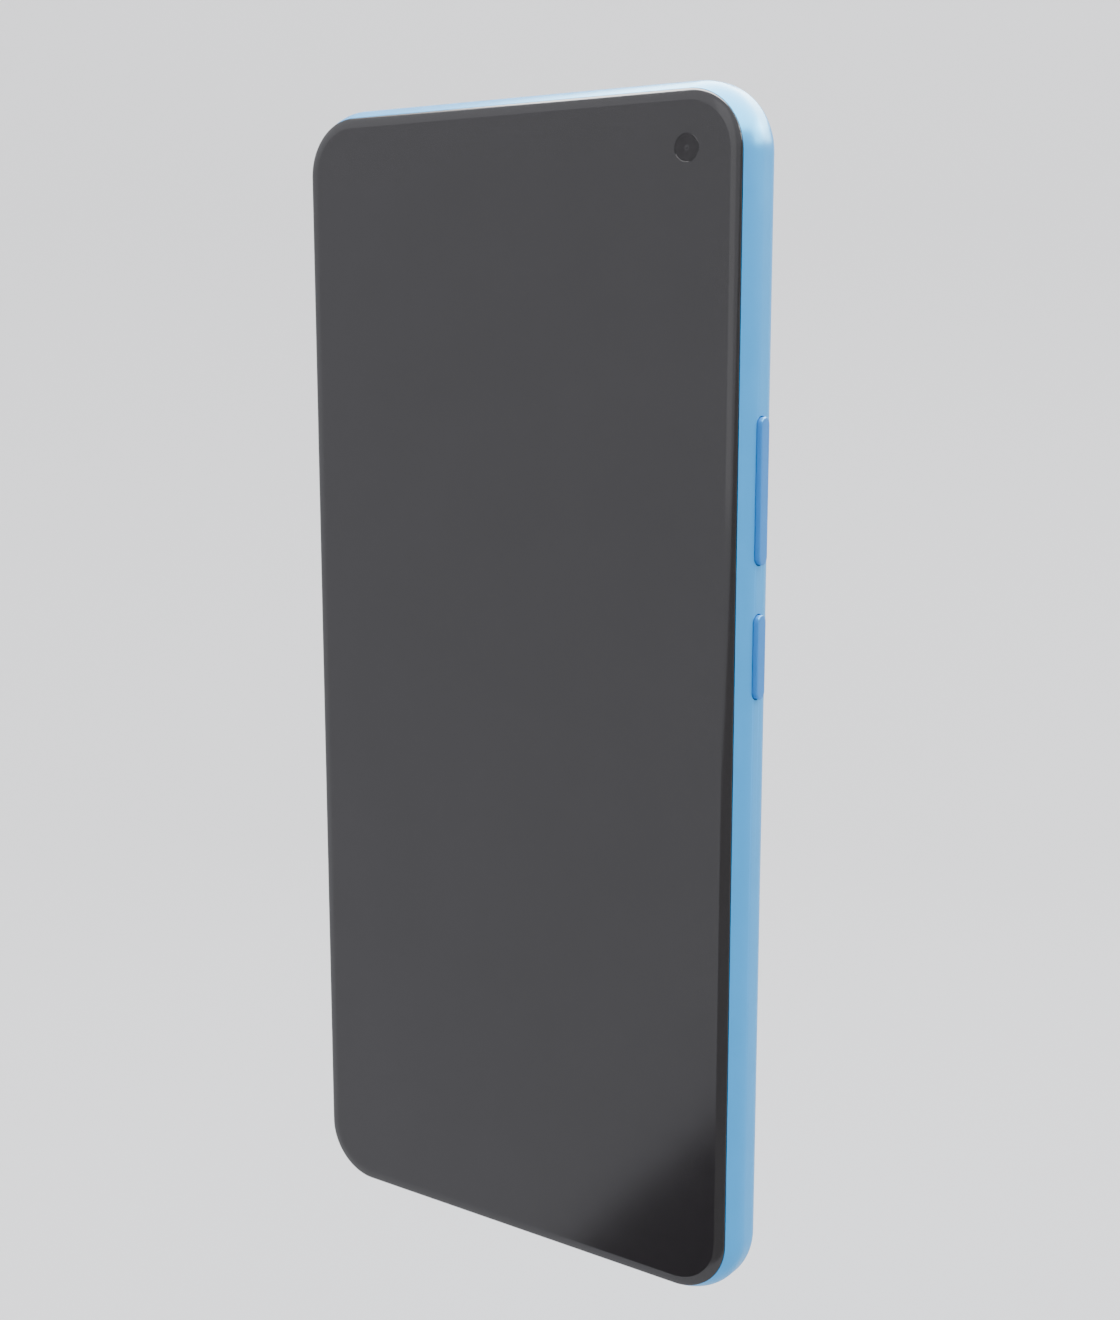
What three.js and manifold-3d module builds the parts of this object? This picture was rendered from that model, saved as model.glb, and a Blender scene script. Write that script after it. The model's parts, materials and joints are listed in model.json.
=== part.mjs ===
// A slab smartphone in its own frame: millimetres, +Z towards the top edge, the screen faces -Y
// and +X is the side with the keys. The origin is the centre of the flat face of the front glass.
import * as THREE from "three";
import { mergeVertices } from "three/addons/utils/BufferGeometryUtils.js";
import Module from "manifold-3d";

const wasm = await Module();
wasm.setup();

// Front glass: a flat field inside a curved border that falls towards the rim of the housing.
const GLASS_WIDTH = 71.2;
const GLASS_HEIGHT = 159.8;
const GLASS_CORNER = 7.8;
const GLASS_THICKNESS = 1.0;
const BORDER_WIDTH = 1.38;
const BORDER_DROP = 0.44;
const BORDER_PULL = [0.3, 0.19];

// Rear housing: back and side walls in one piece. Its rim leaves the glass at a steep slope and
// rounds off into the upright side wall.
const RIM_OVERHANG = 1.35;
const RIM_Y = 0.62;
const RIM_SLOPE = 1.6;
const RIM_DEPTH = 3.3;
const RIM_LAND = 0.04;
const BODY_THICKNESS = 8.45;
const BACK_RADIUS = 3.1;
const SIDE_WALL = 1.25;
const BACK_WALL = 0.9;
const POCKET_RADIUS = 2.1;
const BODY_WIDTH = GLASS_WIDTH + 2 * RIM_OVERHANG;
const BODY_HEIGHT = GLASS_HEIGHT + 2 * RIM_OVERHANG;
const BODY_CORNER = GLASS_CORNER + RIM_OVERHANG;
const SIDE_X = BODY_WIDTH / 2;
const END_Z = BODY_HEIGHT / 2;
const INNER_X = SIDE_X - SIDE_WALL;
const INNER_Z = END_Z - SIDE_WALL;
const INNER_BACK_Y = BODY_THICKNESS - BACK_WALL;
const PORT_Y = 4.6;

// Layers between glass and back, front to back.
const PANEL = { width: 69, height: 157, corner: 6.6, y: [1.1, 2.1] };
const SEAL_Y = [1.12, 2.2];
const FRAME_Y = [2.3, 3.1];
const BOARD_Y = [3.6, 4.4];
const COVER_Y = [6.5, 7.1];
const ANTENNA_Y = [7.18, 7.3];
const PART_Y = 4.5;
const BOARD_CORNER = 6.5;

// Side keys: z centre and length; both share one width, height above the wall and flange.
const VOLUME_KEY = { z: 30.2, length: 18.9 };
const POWER_KEY = { z: 8.75, length: 11.1 };
const KEY_WIDTH = 2.1;
const KEY_Y = 4.25;
const KEY_PROUD = 0.6;
const KEY_GAP = 0.15;
const KEY_FLANGE_X = [34.7, 35.42];
const SWITCH_X = [34.1, 34.4];
const KEY_FLEX_X = [33.9, 34.05];
const SWITCH_OFFSET = 5.5;

// Front camera and the rear camera island with its four stations (x, z).
const FRONT_CAMERA = { x: 27.9, z: 72.8, snout: 1.7 };
const ISLAND = { x: 21.8, z: 61.4, width: 23.2, height: 32.4, corner: 6.2, y: [7.75, 9.75] };
const WIDE_CAMERA = { x: 25.8, z: 70.0 };
const MAIN_CAMERA = { x: 25.8, z: 52.8 };
const MACRO_CAMERA = { x: 15.0, z: 61.4 };
const FLASH = { x: 15.0, z: 70.0 };
const RING_RADIUS = 5.9;
const RING_BORE = 4.1;
const RING_STEM = 4.8;
const RING_Y = [9.3, 9.95, 10.3, 10.5];
const PANE_Y = [9.2, 9.8];
const LENS_WINDOW = { radius: 3.95, y: [9.6, 10.1] };
const SMALL_WINDOW = 2.05;
const CAMERA_HALF = { main: 4.3, wide: 4, macro: 2.5, front: 2.9 };

// SIM drawer and its ejector on the -X side.
const TRAY = { z: 53.8, faceLength: 20, faceWidth: 1.6, bodyZ: [47.2, 63.2], bodyY: [4.75, 5.45] };
const TRAY_LEAF_X = [-35.05, -16.3];
const CARD_WINDOWS = [-33.6, -25.2];
const CARD_WINDOW_WIDTH = 7;
const READER_X = [-34.3, -17.5];
const PIN_Z = 45.3;
const LEVER = { x: -12.1, z: 50.3, arm: 6, width: 1.6, y: [4.75, 5.35] };

// Bottom edge: socket, sound holes and the coin motor.
const USB = { width: 9.0, height: 3.2, wall: 0.3, z: [-80.95, -73.9] };
const SPEAKER_HOLES = { count: 6, first: 12.4, pitch: 2.4, radius: 0.65 };
const MIC_HOLE = 0.5;
const BOTTOM_MIC_X = -10;
const TOP_MIC_X = -14;
const MOTOR = { x: -24.5, z: -69, radius: 5 };
const SOUND_BOX_X = [10.6, 26.4];

const BATTERY = { x: -1, z: -8, width: 61, height: 84, y: [3.45, 7.15] };
const SCREWS = [[-31, 75], [10.4, 76], [-31, 40.6], [15.6, 41.4], [-31, -59.5], [31, -59.5]];
const SCREW_HOLE = 0.8;
const ARC_STEPS = 4;

const finish = (color, roughness, metalness = 0) =>
  new THREE.MeshStandardMaterial({ color, roughness, metalness });
const MATERIALS = {
  glass: finish(0x2b2b2d, 0.15),
  panel: finish(0x18181a, 0.4),
  blue: finish(0x7aabd1, 0.35),
  key: finish(0x709dc6, 0.35),
  lens: finish(0x10131c, 0.08),
  ring: finish(0x9fb4c8, 0.3, 1),
  steel: finish(0xb9bcc0, 0.35, 1),
  alloy: finish(0x8f9499, 0.5, 1),
  board: finish(0x1e4a38, 0.5),
  flex: finish(0x7a4a1e, 0.45),
  pouch: finish(0x33363a, 0.5, 0.4),
  plastic: finish(0x1d1e20, 0.6),
  rubber: finish(0x141414, 0.85),
  mesh: finish(0x4a4c50, 0.6, 0.8),
  amber: finish(0xf2e2a0, 0.3),
};

const phone = new THREE.Group();

function add(name, geometry, material) {
  const mesh = new THREE.Mesh(geometry, MATERIALS[material]);
  mesh.name = name;
  phone.add(mesh);
}

// ---- Solids: boolean cuts and joins ----

function toSolid(geometry) {
  const bare = geometry.clone();
  bare.deleteAttribute("normal");
  bare.deleteAttribute("uv");
  const merged = mergeVertices(bare, 1e-4);
  const mesh = new wasm.Mesh({
    numProp: 3,
    vertProperties: new Float32Array(merged.attributes.position.array),
    triVerts: new Uint32Array(merged.index.array),
  });
  return new wasm.Manifold(mesh);
}

function toGeometry(solid) {
  const mesh = solid.getMesh();
  const geometry = new THREE.BufferGeometry();
  geometry.setAttribute("position", new THREE.BufferAttribute(mesh.vertProperties, 3));
  geometry.setIndex(new THREE.BufferAttribute(mesh.triVerts, 1));
  return geometry;
}

function cut(geometry, tools) {
  return toGeometry(tools.reduce((solid, tool) => solid.subtract(toSolid(tool)), toSolid(geometry)));
}

function join(geometries) {
  return toGeometry(geometries.map(toSolid).reduce((a, b) => a.add(b)));
}

// ---- Basic shapes ----

function box([x0, x1], [y0, y1], [z0, z1]) {
  const geometry = new THREE.BoxGeometry(x1 - x0, y1 - y0, z1 - z0);
  return geometry.translate((x0 + x1) / 2, (y0 + y1) / 2, (z0 + z1) / 2);
}

function cylinderY({ x, z }, radius, [y0, y1], sides = 12) {
  const geometry = new THREE.CylinderGeometry(radius, radius, y1 - y0, sides);
  return geometry.translate(x, (y0 + y1) / 2, z);
}

function cylinderX(y, z, radius, [x0, x1], sides = 10) {
  const geometry = new THREE.CylinderGeometry(radius, radius, x1 - x0, sides);
  return geometry.rotateZ(Math.PI / 2).translate((x0 + x1) / 2, y, z);
}

function cylinderZ(x, y, radius, [z0, z1], sides = 10) {
  const geometry = new THREE.CylinderGeometry(radius, radius, z1 - z0, sides);
  return geometry.rotateX(Math.PI / 2).translate(x, y, (z0 + z1) / 2);
}

function lathe(profile, { x, z }, sides = 20) {
  const points = profile.map(([radius, y]) => new THREE.Vector2(radius, y));
  return new THREE.LatheGeometry(points, sides).translate(x, 0, z);
}

// The points of a rounded rectangle about the Y axis, anticlockwise seen from the front.
function roundedLoop(width, height, radius) {
  const points = [];
  const corners = [[1, 1], [-1, 1], [-1, -1], [1, -1]];
  corners.forEach(([sideX, sideZ], quarter) => {
    const centreX = sideX * (width / 2 - radius);
    const centreZ = sideZ * (height / 2 - radius);
    for (let step = 0; step <= 2 * ARC_STEPS; step += 1) {
      const angle = (quarter + step / (2 * ARC_STEPS)) * Math.PI / 2;
      points.push([centreX + radius * Math.cos(angle), centreZ + radius * Math.sin(angle)]);
    }
  });
  return points;
}

// A rounded block whose outline shrinks by the inset at each layer; layers are [inset, y].
function slab(width, height, corner, layers) {
  const positions = [];
  const triangles = [];
  let ringSize = 0;
  for (const [inset, y] of layers) {
    const loop = roundedLoop(width - 2 * inset, height - 2 * inset, Math.max(corner - inset, 0.05));
    ringSize = loop.length;
    loop.forEach(([x, z]) => positions.push(x, y, z));
  }
  for (let layer = 0; layer + 1 < layers.length; layer += 1) {
    for (let k = 0; k < ringSize; k += 1) {
      const a = layer * ringSize + k;
      const b = layer * ringSize + ((k + 1) % ringSize);
      triangles.push(a, b + ringSize, b, a, a + ringSize, b + ringSize);
    }
  }
  const back = (layers.length - 1) * ringSize;
  for (let k = 1; k + 1 < ringSize; k += 1) {
    triangles.push(0, k, k + 1, back, back + k + 1, back + k);
  }
  const geometry = new THREE.BufferGeometry();
  geometry.setAttribute("position", new THREE.Float32BufferAttribute(positions, 3));
  geometry.setIndex(triangles);
  return geometry;
}

const straightSlab = (width, height, corner, [y0, y1]) =>
  slab(width, height, corner, [[0, y0], [0, y1]]);

// The layers of a curve that leaves start towards pull and arrives at end from it.
function bend(start, pull, end, steps) {
  const corners = [start, pull, end].map(([inset, y]) => new THREE.Vector2(inset, y));
  const curve = new THREE.QuadraticBezierCurve(...corners);
  return curve.getPoints(steps).map((point) => [point.x, point.y]);
}

// A flat plate in the XZ plane; corners are the radii at bottom left, bottom right, top right
// and top left.
function plate([x0, x1], [z0, z1], [y0, y1], corners = [0, 0, 0, 0], holes = []) {
  const [bl, br, tr, tl] = corners;
  const shape = new THREE.Shape();
  shape.moveTo(x0 + bl, z0);
  shape.lineTo(x1 - br, z0);
  if (br) shape.absarc(x1 - br, z0 + br, br, -Math.PI / 2, 0);
  shape.lineTo(x1, z1 - tr);
  if (tr) shape.absarc(x1 - tr, z1 - tr, tr, 0, Math.PI / 2);
  shape.lineTo(x0 + tl, z1);
  if (tl) shape.absarc(x0 + tl, z1 - tl, tl, Math.PI / 2, Math.PI);
  shape.lineTo(x0, z0 + bl);
  if (bl) shape.absarc(x0 + bl, z0 + bl, bl, Math.PI, 1.5 * Math.PI);
  for (const { x, z, radius } of holes) {
    const hole = new THREE.Path();
    hole.absarc(x, z, radius, 0, 2 * Math.PI, true);
    shape.holes.push(hole);
  }
  const options = { depth: y1 - y0, bevelEnabled: false, curveSegments: ARC_STEPS };
  return new THREE.ExtrudeGeometry(shape, options).rotateX(Math.PI / 2).translate(0, y1, 0);
}

// A round-ended slot outline pushed along Z, such as a socket shell.
function stadium(width, height, [z0, z1], y) {
  const radius = height / 2;
  const reach = width / 2 - radius;
  const shape = new THREE.Shape();
  shape.absarc(reach, y, radius, -Math.PI / 2, Math.PI / 2);
  shape.absarc(-reach, y, radius, Math.PI / 2, 1.5 * Math.PI);
  shape.closePath();
  const options = { depth: z1 - z0, bevelEnabled: false, curveSegments: ARC_STEPS };
  return new THREE.ExtrudeGeometry(shape, options).translate(0, 0, z0);
}

// A thin ribbon across X whose centre line runs through the given [z, y] points.
function ribbon(line, thickness, [x0, x1]) {
  const side = (sign) => line.map((point, index) => {
    const before = line[Math.max(index - 1, 0)];
    const after = line[Math.min(index + 1, line.length - 1)];
    const length = Math.hypot(after[0] - before[0], after[1] - before[1]);
    const shift = sign * thickness / (2 * length);
    const z = point[0] - shift * (after[1] - before[1]);
    return new THREE.Vector2(z, point[1] + shift * (after[0] - before[0]));
  });
  const shape = new THREE.Shape([...side(-1), ...side(1).reverse()]);
  const options = { depth: x1 - x0, bevelEnabled: false };
  return new THREE.ExtrudeGeometry(shape, options).rotateY(-Math.PI / 2).translate(x1, 0, 0);
}

const screwHoles = (places, radius = SCREW_HOLE) => places.map(([x, z]) => ({ x, z, radius }));
const UPPER_SCREWS = SCREWS.slice(0, 4);
const COVER_SCREWS = SCREWS.slice(0, 3);
const ARM_SCREW = SCREWS.slice(3, 4);
const LOWER_LEFT_SCREW = SCREWS.slice(4, 5);
const LOWER_RIGHT_SCREW = SCREWS.slice(5);

const squareBox = ({ x, z }, half, depth) => box([x - half, x + half], depth, [z - half, z + half]);

// ---- Screen ----

function addScreen() {
  const layers = bend([BORDER_WIDTH, 0], BORDER_PULL, [0, BORDER_DROP], ARC_STEPS);
  layers.push([0, GLASS_THICKNESS]);
  add("front_glass", slab(GLASS_WIDTH, GLASS_HEIGHT, GLASS_CORNER, layers), "glass");

  const panel = straightSlab(PANEL.width, PANEL.height, PANEL.corner, PANEL.y);
  const eye = cylinderY(FRONT_CAMERA, FRONT_CAMERA.snout + 0.6, [0, 3], 16);
  add("display_panel", cut(panel, [eye]), "panel");

  const outer = straightSlab(GLASS_WIDTH - 0.4, GLASS_HEIGHT - 0.4, GLASS_CORNER - 0.2, SEAL_Y);
  const inner = straightSlab(PANEL.width + 0.6, PANEL.height + 0.6, PANEL.corner + 0.3, [0, 3]);
  const soundGap = box([-6, 6], [0, 3], [78, 81]);
  add("display_adhesive", cut(outer, [inner, soundGap]), "rubber");
  add("earpiece_mesh", box([-5.6, 5.6], [1.2, 2.1], [79.1, 79.8]), "mesh");

  const flexLine = [[-76, 2.22], [-70, 2.22], [-66.5, 3.42], [-62, 3.42]];
  add("display_flex", ribbon(flexLine, 0.1, [-8, 8]), "flex");
}

// ---- Chassis ----

function addMidFrame() {
  const sheet = straightSlab(GLASS_WIDTH - 0.2, GLASS_HEIGHT - 0.2, GLASS_CORNER - 0.1, FRAME_Y);
  const boss = ([x, z]) => cylinderY({ x, z }, 1.7, [FRAME_Y[1] - 0.2, FRAME_Y[1] + 0.4]);
  const bossHole = ([x, z]) => cylinderY({ x, z }, SCREW_HOLE, [2.6, 4], 8);
  const through = [2, 4];
  const windows = [
    squareBox(FRONT_CAMERA, CAMERA_HALF.front + 0.3, through),
    box([-9, 9], through, [-77.5, -61]),
    box([-5.5, 5.5], through, [77.4, 79]),
    box([33.4, 37], through, [1.5, 41.6]),
    box([-5.8, 5.8], through, [-81, -73.4]),
  ];
  const body = join([sheet, ...SCREWS.map(boss)]);
  add("mid_frame", cut(body, [...windows, ...SCREWS.map(bossHole)]), "alloy");
}

function housingShell() {
  const across = SIDE_WALL - RIM_LAND;
  const start = [across, RIM_Y];
  const layers = bend(start, [0, RIM_Y + RIM_SLOPE * across], [0, RIM_Y + RIM_DEPTH], ARC_STEPS + 1);
  const backStart = BODY_THICKNESS - BACK_RADIUS;
  for (let step = 0; step <= ARC_STEPS + 1; step += 1) {
    const angle = step / (ARC_STEPS + 1) * Math.PI / 2;
    layers.push([BACK_RADIUS * (1 - Math.cos(angle)), backStart + BACK_RADIUS * Math.sin(angle)]);
  }
  return slab(BODY_WIDTH, BODY_HEIGHT, BODY_CORNER, layers);
}

function housingPocket() {
  const layers = [[0, 0]];
  const start = INNER_BACK_Y - POCKET_RADIUS;
  for (let step = 0; step < ARC_STEPS; step += 1) {
    const angle = step / (ARC_STEPS - 1) * Math.PI / 2;
    layers.push([POCKET_RADIUS * (1 - Math.cos(angle)), start + POCKET_RADIUS * Math.sin(angle)]);
  }
  return slab(2 * INNER_X, 2 * INNER_Z, BODY_CORNER - SIDE_WALL, layers);
}

function sideSlot(z, length, width, y, [x0, x1]) {
  const slot = straightSlab(width, length, width / 2 - 0.05, [0, x1 - x0]);
  return slot.rotateZ(Math.PI / 2).translate(x1, y, z);
}

function addHousing() {
  const outside = [INNER_X - 1, SIDE_X + 1];
  const keySlot = ({ z, length }) =>
    sideSlot(z, length + 2 * KEY_GAP, KEY_WIDTH + 2 * KEY_GAP, KEY_Y, outside);
  const trayLength = TRAY.faceLength + 2 * KEY_GAP;
  const trayWidth = TRAY.faceWidth + 2 * KEY_GAP;
  const traySlot = sideSlot(TRAY.z, trayLength, trayWidth, PORT_Y, [-outside[1], -outside[0]]);
  const bottom = [-END_Z - 1, -INNER_Z + 1];
  const top = [INNER_Z - 1, END_Z + 1];
  const soundHoles = Array.from({ length: SPEAKER_HOLES.count }, (_, index) =>
    cylinderZ(SPEAKER_HOLES.first + index * SPEAKER_HOLES.pitch, PORT_Y, SPEAKER_HOLES.radius, bottom));
  const islandSize = [ISLAND.width + 2 * KEY_GAP, ISLAND.height + 2 * KEY_GAP];
  const islandHole = straightSlab(...islandSize, ISLAND.corner + KEY_GAP, [7, 9]);
  const openings = [
    housingPocket(),
    keySlot(VOLUME_KEY),
    keySlot(POWER_KEY),
    traySlot,
    stadium(USB.width + 0.3, USB.height + 0.3, bottom, PORT_Y),
    ...soundHoles,
    cylinderZ(BOTTOM_MIC_X, PORT_Y, MIC_HOLE, bottom, 8),
    cylinderZ(TOP_MIC_X, PORT_Y, MIC_HOLE, top, 8),
    islandHole.translate(ISLAND.x, 0, ISLAND.z),
  ];
  add("rear_housing", cut(housingShell(), openings), "blue");
}

// ---- Side keys ----

function keySolid({ z, length }) {
  const reach = SIDE_X + KEY_PROUD;
  const flange = KEY_FLANGE_X.map((x) => reach - x);
  const capLayers = [[0.4, 0], [0.12, 0.1], [0, 0.36], [0, flange[1] + 0.2]];
  const cap = slab(KEY_WIDTH, length, 0.95, capLayers);
  const foot = straightSlab(KEY_WIDTH + 0.6, length + 1.4, 1.2, [flange[1], flange[0]]);
  return join([cap, foot]).rotateZ(Math.PI / 2).translate(reach, KEY_Y, z);
}

function addKeys() {
  add("volume_rocker", keySolid(VOLUME_KEY), "key");
  add("power_button", keySolid(POWER_KEY), "key");
  add("side_key_flex", box(KEY_FLEX_X, [KEY_Y - 0.95, KEY_Y + 0.95], [3.2, 39.4]), "flex");
  const switches = {
    volume_up_switch: VOLUME_KEY.z + SWITCH_OFFSET,
    volume_down_switch: VOLUME_KEY.z - SWITCH_OFFSET,
    power_switch: POWER_KEY.z,
  };
  for (const [name, z] of Object.entries(switches)) {
    add(name, box(SWITCH_X, [KEY_Y - 0.8, KEY_Y + 0.8], [z - 1.4, z + 1.4]), "steel");
  }
}

// ---- Cameras ----

function addFrontCamera() {
  const base = squareBox(FRONT_CAMERA, CAMERA_HALF.front, [2.45, 4.6]);
  const tube = cylinderY(FRONT_CAMERA, FRONT_CAMERA.snout, [1.15, 2.6], 16);
  const well = cylinderY(FRONT_CAMERA, 1.2, [1, 2], 16);
  add("front_camera_module", cut(join([base, tube]), [well]), "plastic");
  const lens = [[0, 1.3], [0.6, 1.36], [1.05, 1.55], [1.05, 1.85], [0, 1.85]];
  add("front_camera_lens", lathe(lens, FRONT_CAMERA, 14), "lens");
}

function addIsland() {
  const { x, z, width, height, corner, y } = ISLAND;
  const edge = [[0, y[1] - 0.45], [0.13, y[1] - 0.13], [0.45, y[1]]];
  const rim = slab(width, height, corner, [[0, y[0]], ...edge]);
  const recess = straightSlab(width - 2.8, height - 2.8, corner - 1.4, [9.1, 10]);
  const window = straightSlab(width - 5.2, height - 5.2, corner - 2.6, [7, 10]);
  const frame = cut(rim, [recess, window]);
  add("camera_island_frame", frame.translate(x, 0, z), "ring");

  const pane = straightSlab(width - 3.1, height - 3.1, corner - 1.55, PANE_Y).translate(x, 0, z);
  const bores = [
    cylinderY(WIDE_CAMERA, RING_STEM + 0.2, [9, 10], 20),
    cylinderY(MAIN_CAMERA, RING_STEM + 0.2, [9, 10], 20),
    cylinderY(MACRO_CAMERA, SMALL_WINDOW + 0.2, [9, 10], 14),
    cylinderY(FLASH, SMALL_WINDOW + 0.2, [9, 10], 14),
  ];
  add("camera_island_glass", cut(pane, bores), "lens");

  const [stemY, flangeY, shoulderY, crownY] = RING_Y;
  const ring = [
    [RING_BORE, stemY], [RING_STEM, stemY], [RING_STEM, flangeY], [RING_RADIUS, flangeY],
    [RING_RADIUS, shoulderY], [RING_RADIUS - 0.25, crownY], [RING_BORE + 0.25, crownY],
    [RING_BORE, shoulderY], [RING_BORE, stemY],
  ];
  const stations = { main: MAIN_CAMERA, wide: WIDE_CAMERA };
  for (const [label, place] of Object.entries(stations)) {
    add(`${label}_lens_ring`, lathe(ring, place), "ring");
    add(`${label}_lens_window`, cylinderY(place, LENS_WINDOW.radius, LENS_WINDOW.y, 20), "lens");
  }
}

function addRearCameras() {
  const can = squareBox(MAIN_CAMERA, CAMERA_HALF.main, [3.4, 7.65]);
  const bore = cylinderY(MAIN_CAMERA, 3.5, [4.4, 9], 20);
  add("main_camera_housing", cut(can, [bore]), "steel");
  const barrel = [[0, 4.9], [3.3, 4.9], [3.3, 8.6], [3.0, 8.9], [2.3, 8.9], [1.6, 8.5], [0, 8.35]];
  add("main_camera_barrel", lathe(barrel, MAIN_CAMERA), "plastic");

  const base = squareBox(WIDE_CAMERA, CAMERA_HALF.wide, [4.9, 7.6]);
  const wideBarrel = [[0, 7.2], [3.2, 7.2], [3.2, 8.9], [2.9, 9.15], [2.1, 9.15], [1.4, 8.8], [0, 8.65]];
  add("wide_camera_module", join([base, lathe(wideBarrel, WIDE_CAMERA)]), "plastic");

  const foot = squareBox(MACRO_CAMERA, CAMERA_HALF.macro, [4.55, 7.2]);
  const eye = [
    [0, 7], [SMALL_WINDOW, 7], [SMALL_WINDOW, 9.6], [SMALL_WINDOW - 0.15, 9.75],
    [1.3, 9.75], [0.9, 9.5], [0, 9.4],
  ];
  add("macro_camera_module", join([foot, lathe(eye, MACRO_CAMERA, 14)]), "plastic");

  add("flash_led", squareBox(FLASH, 1.5, [PART_Y, 8.2]), "amber");
  add("flash_lens", cylinderY(FLASH, SMALL_WINDOW, [8.4, 9.75], 14), "amber");
}

// ---- Top: main board and what it carries ----

function shieldCan([x0, x1], [z0, z1]) {
  const can = box([x0, x1], [PART_Y, 5.9], [z0, z1]);
  const hollow = box([x0 + 0.3, x1 - 0.3], [4, 5.6], [z0 + 0.3, z1 - 0.3]);
  return cut(can, [hollow]);
}

function addMainBoard() {
  const holes = screwHoles(UPPER_SCREWS);
  const board = plate([-33.4, 18.4], [38, 78], BOARD_Y, [0, 0, 0, BOARD_CORNER], holes);
  const leg = box([18, 33.4], BOARD_Y, [38, 47.4]);
  const earpieceNotch = box([-8, 8], [3, 5], [73.4, 79]);
  add("main_board", cut(join([board, leg]), [earpieceNotch]), "board");
  add("soc_shield", shieldCan([-9.5, 11.2], [43.5, 60]), "steel");
  add("rf_shield", shieldCan([-9.5, 11.2], [61.2, 72.8]), "steel");
  add("earpiece_speaker", box([-7.2, 7.2], [3.3, 5.9], [74.2, 79.4]), "plastic");
  const mic = box([TOP_MIC_X - 1.7, TOP_MIC_X + 1.7], [PART_Y, 5.5], [75.2, 77.8]);
  add("microphone_top", mic, "steel");
  const coverCorners = [0, 0, 2, BOARD_CORNER];
  const cover = plate([-32.8, 12.2], [39.2, 78.4], COVER_Y, coverCorners, screwHoles(COVER_SCREWS));
  const arm = plate([11, 18], [39.2, 46], COVER_Y, [0, 0, 0, 0], screwHoles(ARM_SCREW));
  add("upper_cover", join([cover, arm]), "plastic");
  const coil = plate([-28, 8], [45, 73], ANTENNA_Y, [3, 3, 3, 3]);
  const middle = plate([-24, 4], [49, 69], [7, 8], [2, 2, 2, 2]);
  add("nfc_antenna", cut(coil, [middle]), "flex");
}

// ---- SIM drawer ----

function addSimDrawer() {
  const faceX = -SIDE_X + 0.05;
  const face = slab(TRAY.faceWidth, TRAY.faceLength, 0.78, [[0.1, 0], [0, 0.12], [0, 1.0]]);
  const neck = straightSlab(1.0, TRAY.faceLength - 1.4, 0.4, [0.8, 2.2]);
  const front = join([face, neck]).rotateZ(-Math.PI / 2).translate(faceX, PORT_Y, TRAY.z);
  const [z0, z1] = TRAY.bodyZ;
  const leaf = box(TRAY_LEAF_X, TRAY.bodyY, [z0, z1]);
  const openings = CARD_WINDOWS.map((x) =>
    box([x, x + CARD_WINDOW_WIDTH], [4, 6], [z0 + 1.6, z1 - 1.6]));
  openings.push(cylinderX(PORT_Y, PIN_Z, MIC_HOLE, [-38, -34]));
  add("sim_tray", cut(join([front, leaf]), openings), "key");

  const ring = straightSlab(1.7, TRAY.faceLength - 0.3, 0.8, [0, 0.6]);
  const ringHole = straightSlab(1.2, TRAY.faceLength - 1.2, 0.5, [-1, 2]);
  const seal = cut(ring, [ringHole]).rotateZ(-Math.PI / 2).translate(faceX + 1.15, PORT_Y, TRAY.z);
  add("sim_tray_seal", seal, "rubber");

  const cage = box(READER_X, [PART_Y, 6.0], [z0 - 0.8, z1 + 0.8]);
  const cavity = box([-36, -16], [4.65, 5.6], [z0 - 0.2, z1 + 0.2]);
  const base = box([READER_X[1] - 1, LEVER.x + 1.2], [PART_Y, 4.62], [LEVER.z - 1.2, LEVER.z + 1.2]);
  const pivot = cylinderY(LEVER, 0.5, [PART_Y, 5.6]);
  add("sim_reader", join([cut(cage, [cavity]), base, pivot]), "steel");

  const { x, z, arm, width, y } = LEVER;
  const bar = box([x - width / 2, x + width / 2], y, [z - arm, z + arm]);
  add("sim_eject_lever", cut(bar, [cylinderY(LEVER, 0.6, [4, 6])]), "steel");
  const rodX = [READER_X[0], x - width / 2 - 0.3];
  add("sim_eject_rod", box(rodX, y, [PIN_Z - 0.35, PIN_Z + 0.35]), "steel");
}

// ---- Middle: battery and the leads beside it ----

function addBattery() {
  const { x, z, width, height, y } = BATTERY;
  const layers = [[0.5, y[0]], [0, y[0] + 0.5], [0, y[1] - 0.5], [0.5, y[1]]];
  add("battery_pack", slab(width, height, 1.6, layers).translate(x, 0, z), "pouch");
  const lead = [[34.3, 5.4], [36, 5.4], [37.6, 4.75], [41.6, 4.75]];
  add("battery_flex", ribbon(lead, 0.15, [-23, -13]), "flex");
  const crossing = [[-57, 4.55], [-53, 4.55], [-51.2, 7.3], [34.8, 7.3], [37.2, 4.75], [41.6, 4.75]];
  add("main_flex", ribbon(crossing, 0.12, [-3, 9]), "flex");

  const route = [
    [29.6, 4.95, -55.6], [31.5, 5, -53], [31.9, 5, -46],
    [31.9, 5, 30], [31.5, 5, 37], [29.8, 4.95, 40.6],
  ];
  const path = new THREE.CatmullRomCurve3(route.map((point) => new THREE.Vector3(...point)));
  const section = new THREE.Shape();
  section.absarc(0, 0, 0.4, 0, 2 * Math.PI);
  const options = { steps: 26, curveSegments: ARC_STEPS, extrudePath: path, bevelEnabled: false };
  add("coax_cable", new THREE.ExtrudeGeometry(section, options), "plastic");
}

// ---- Bottom: sub board, socket, loudspeaker, motor ----

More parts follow.
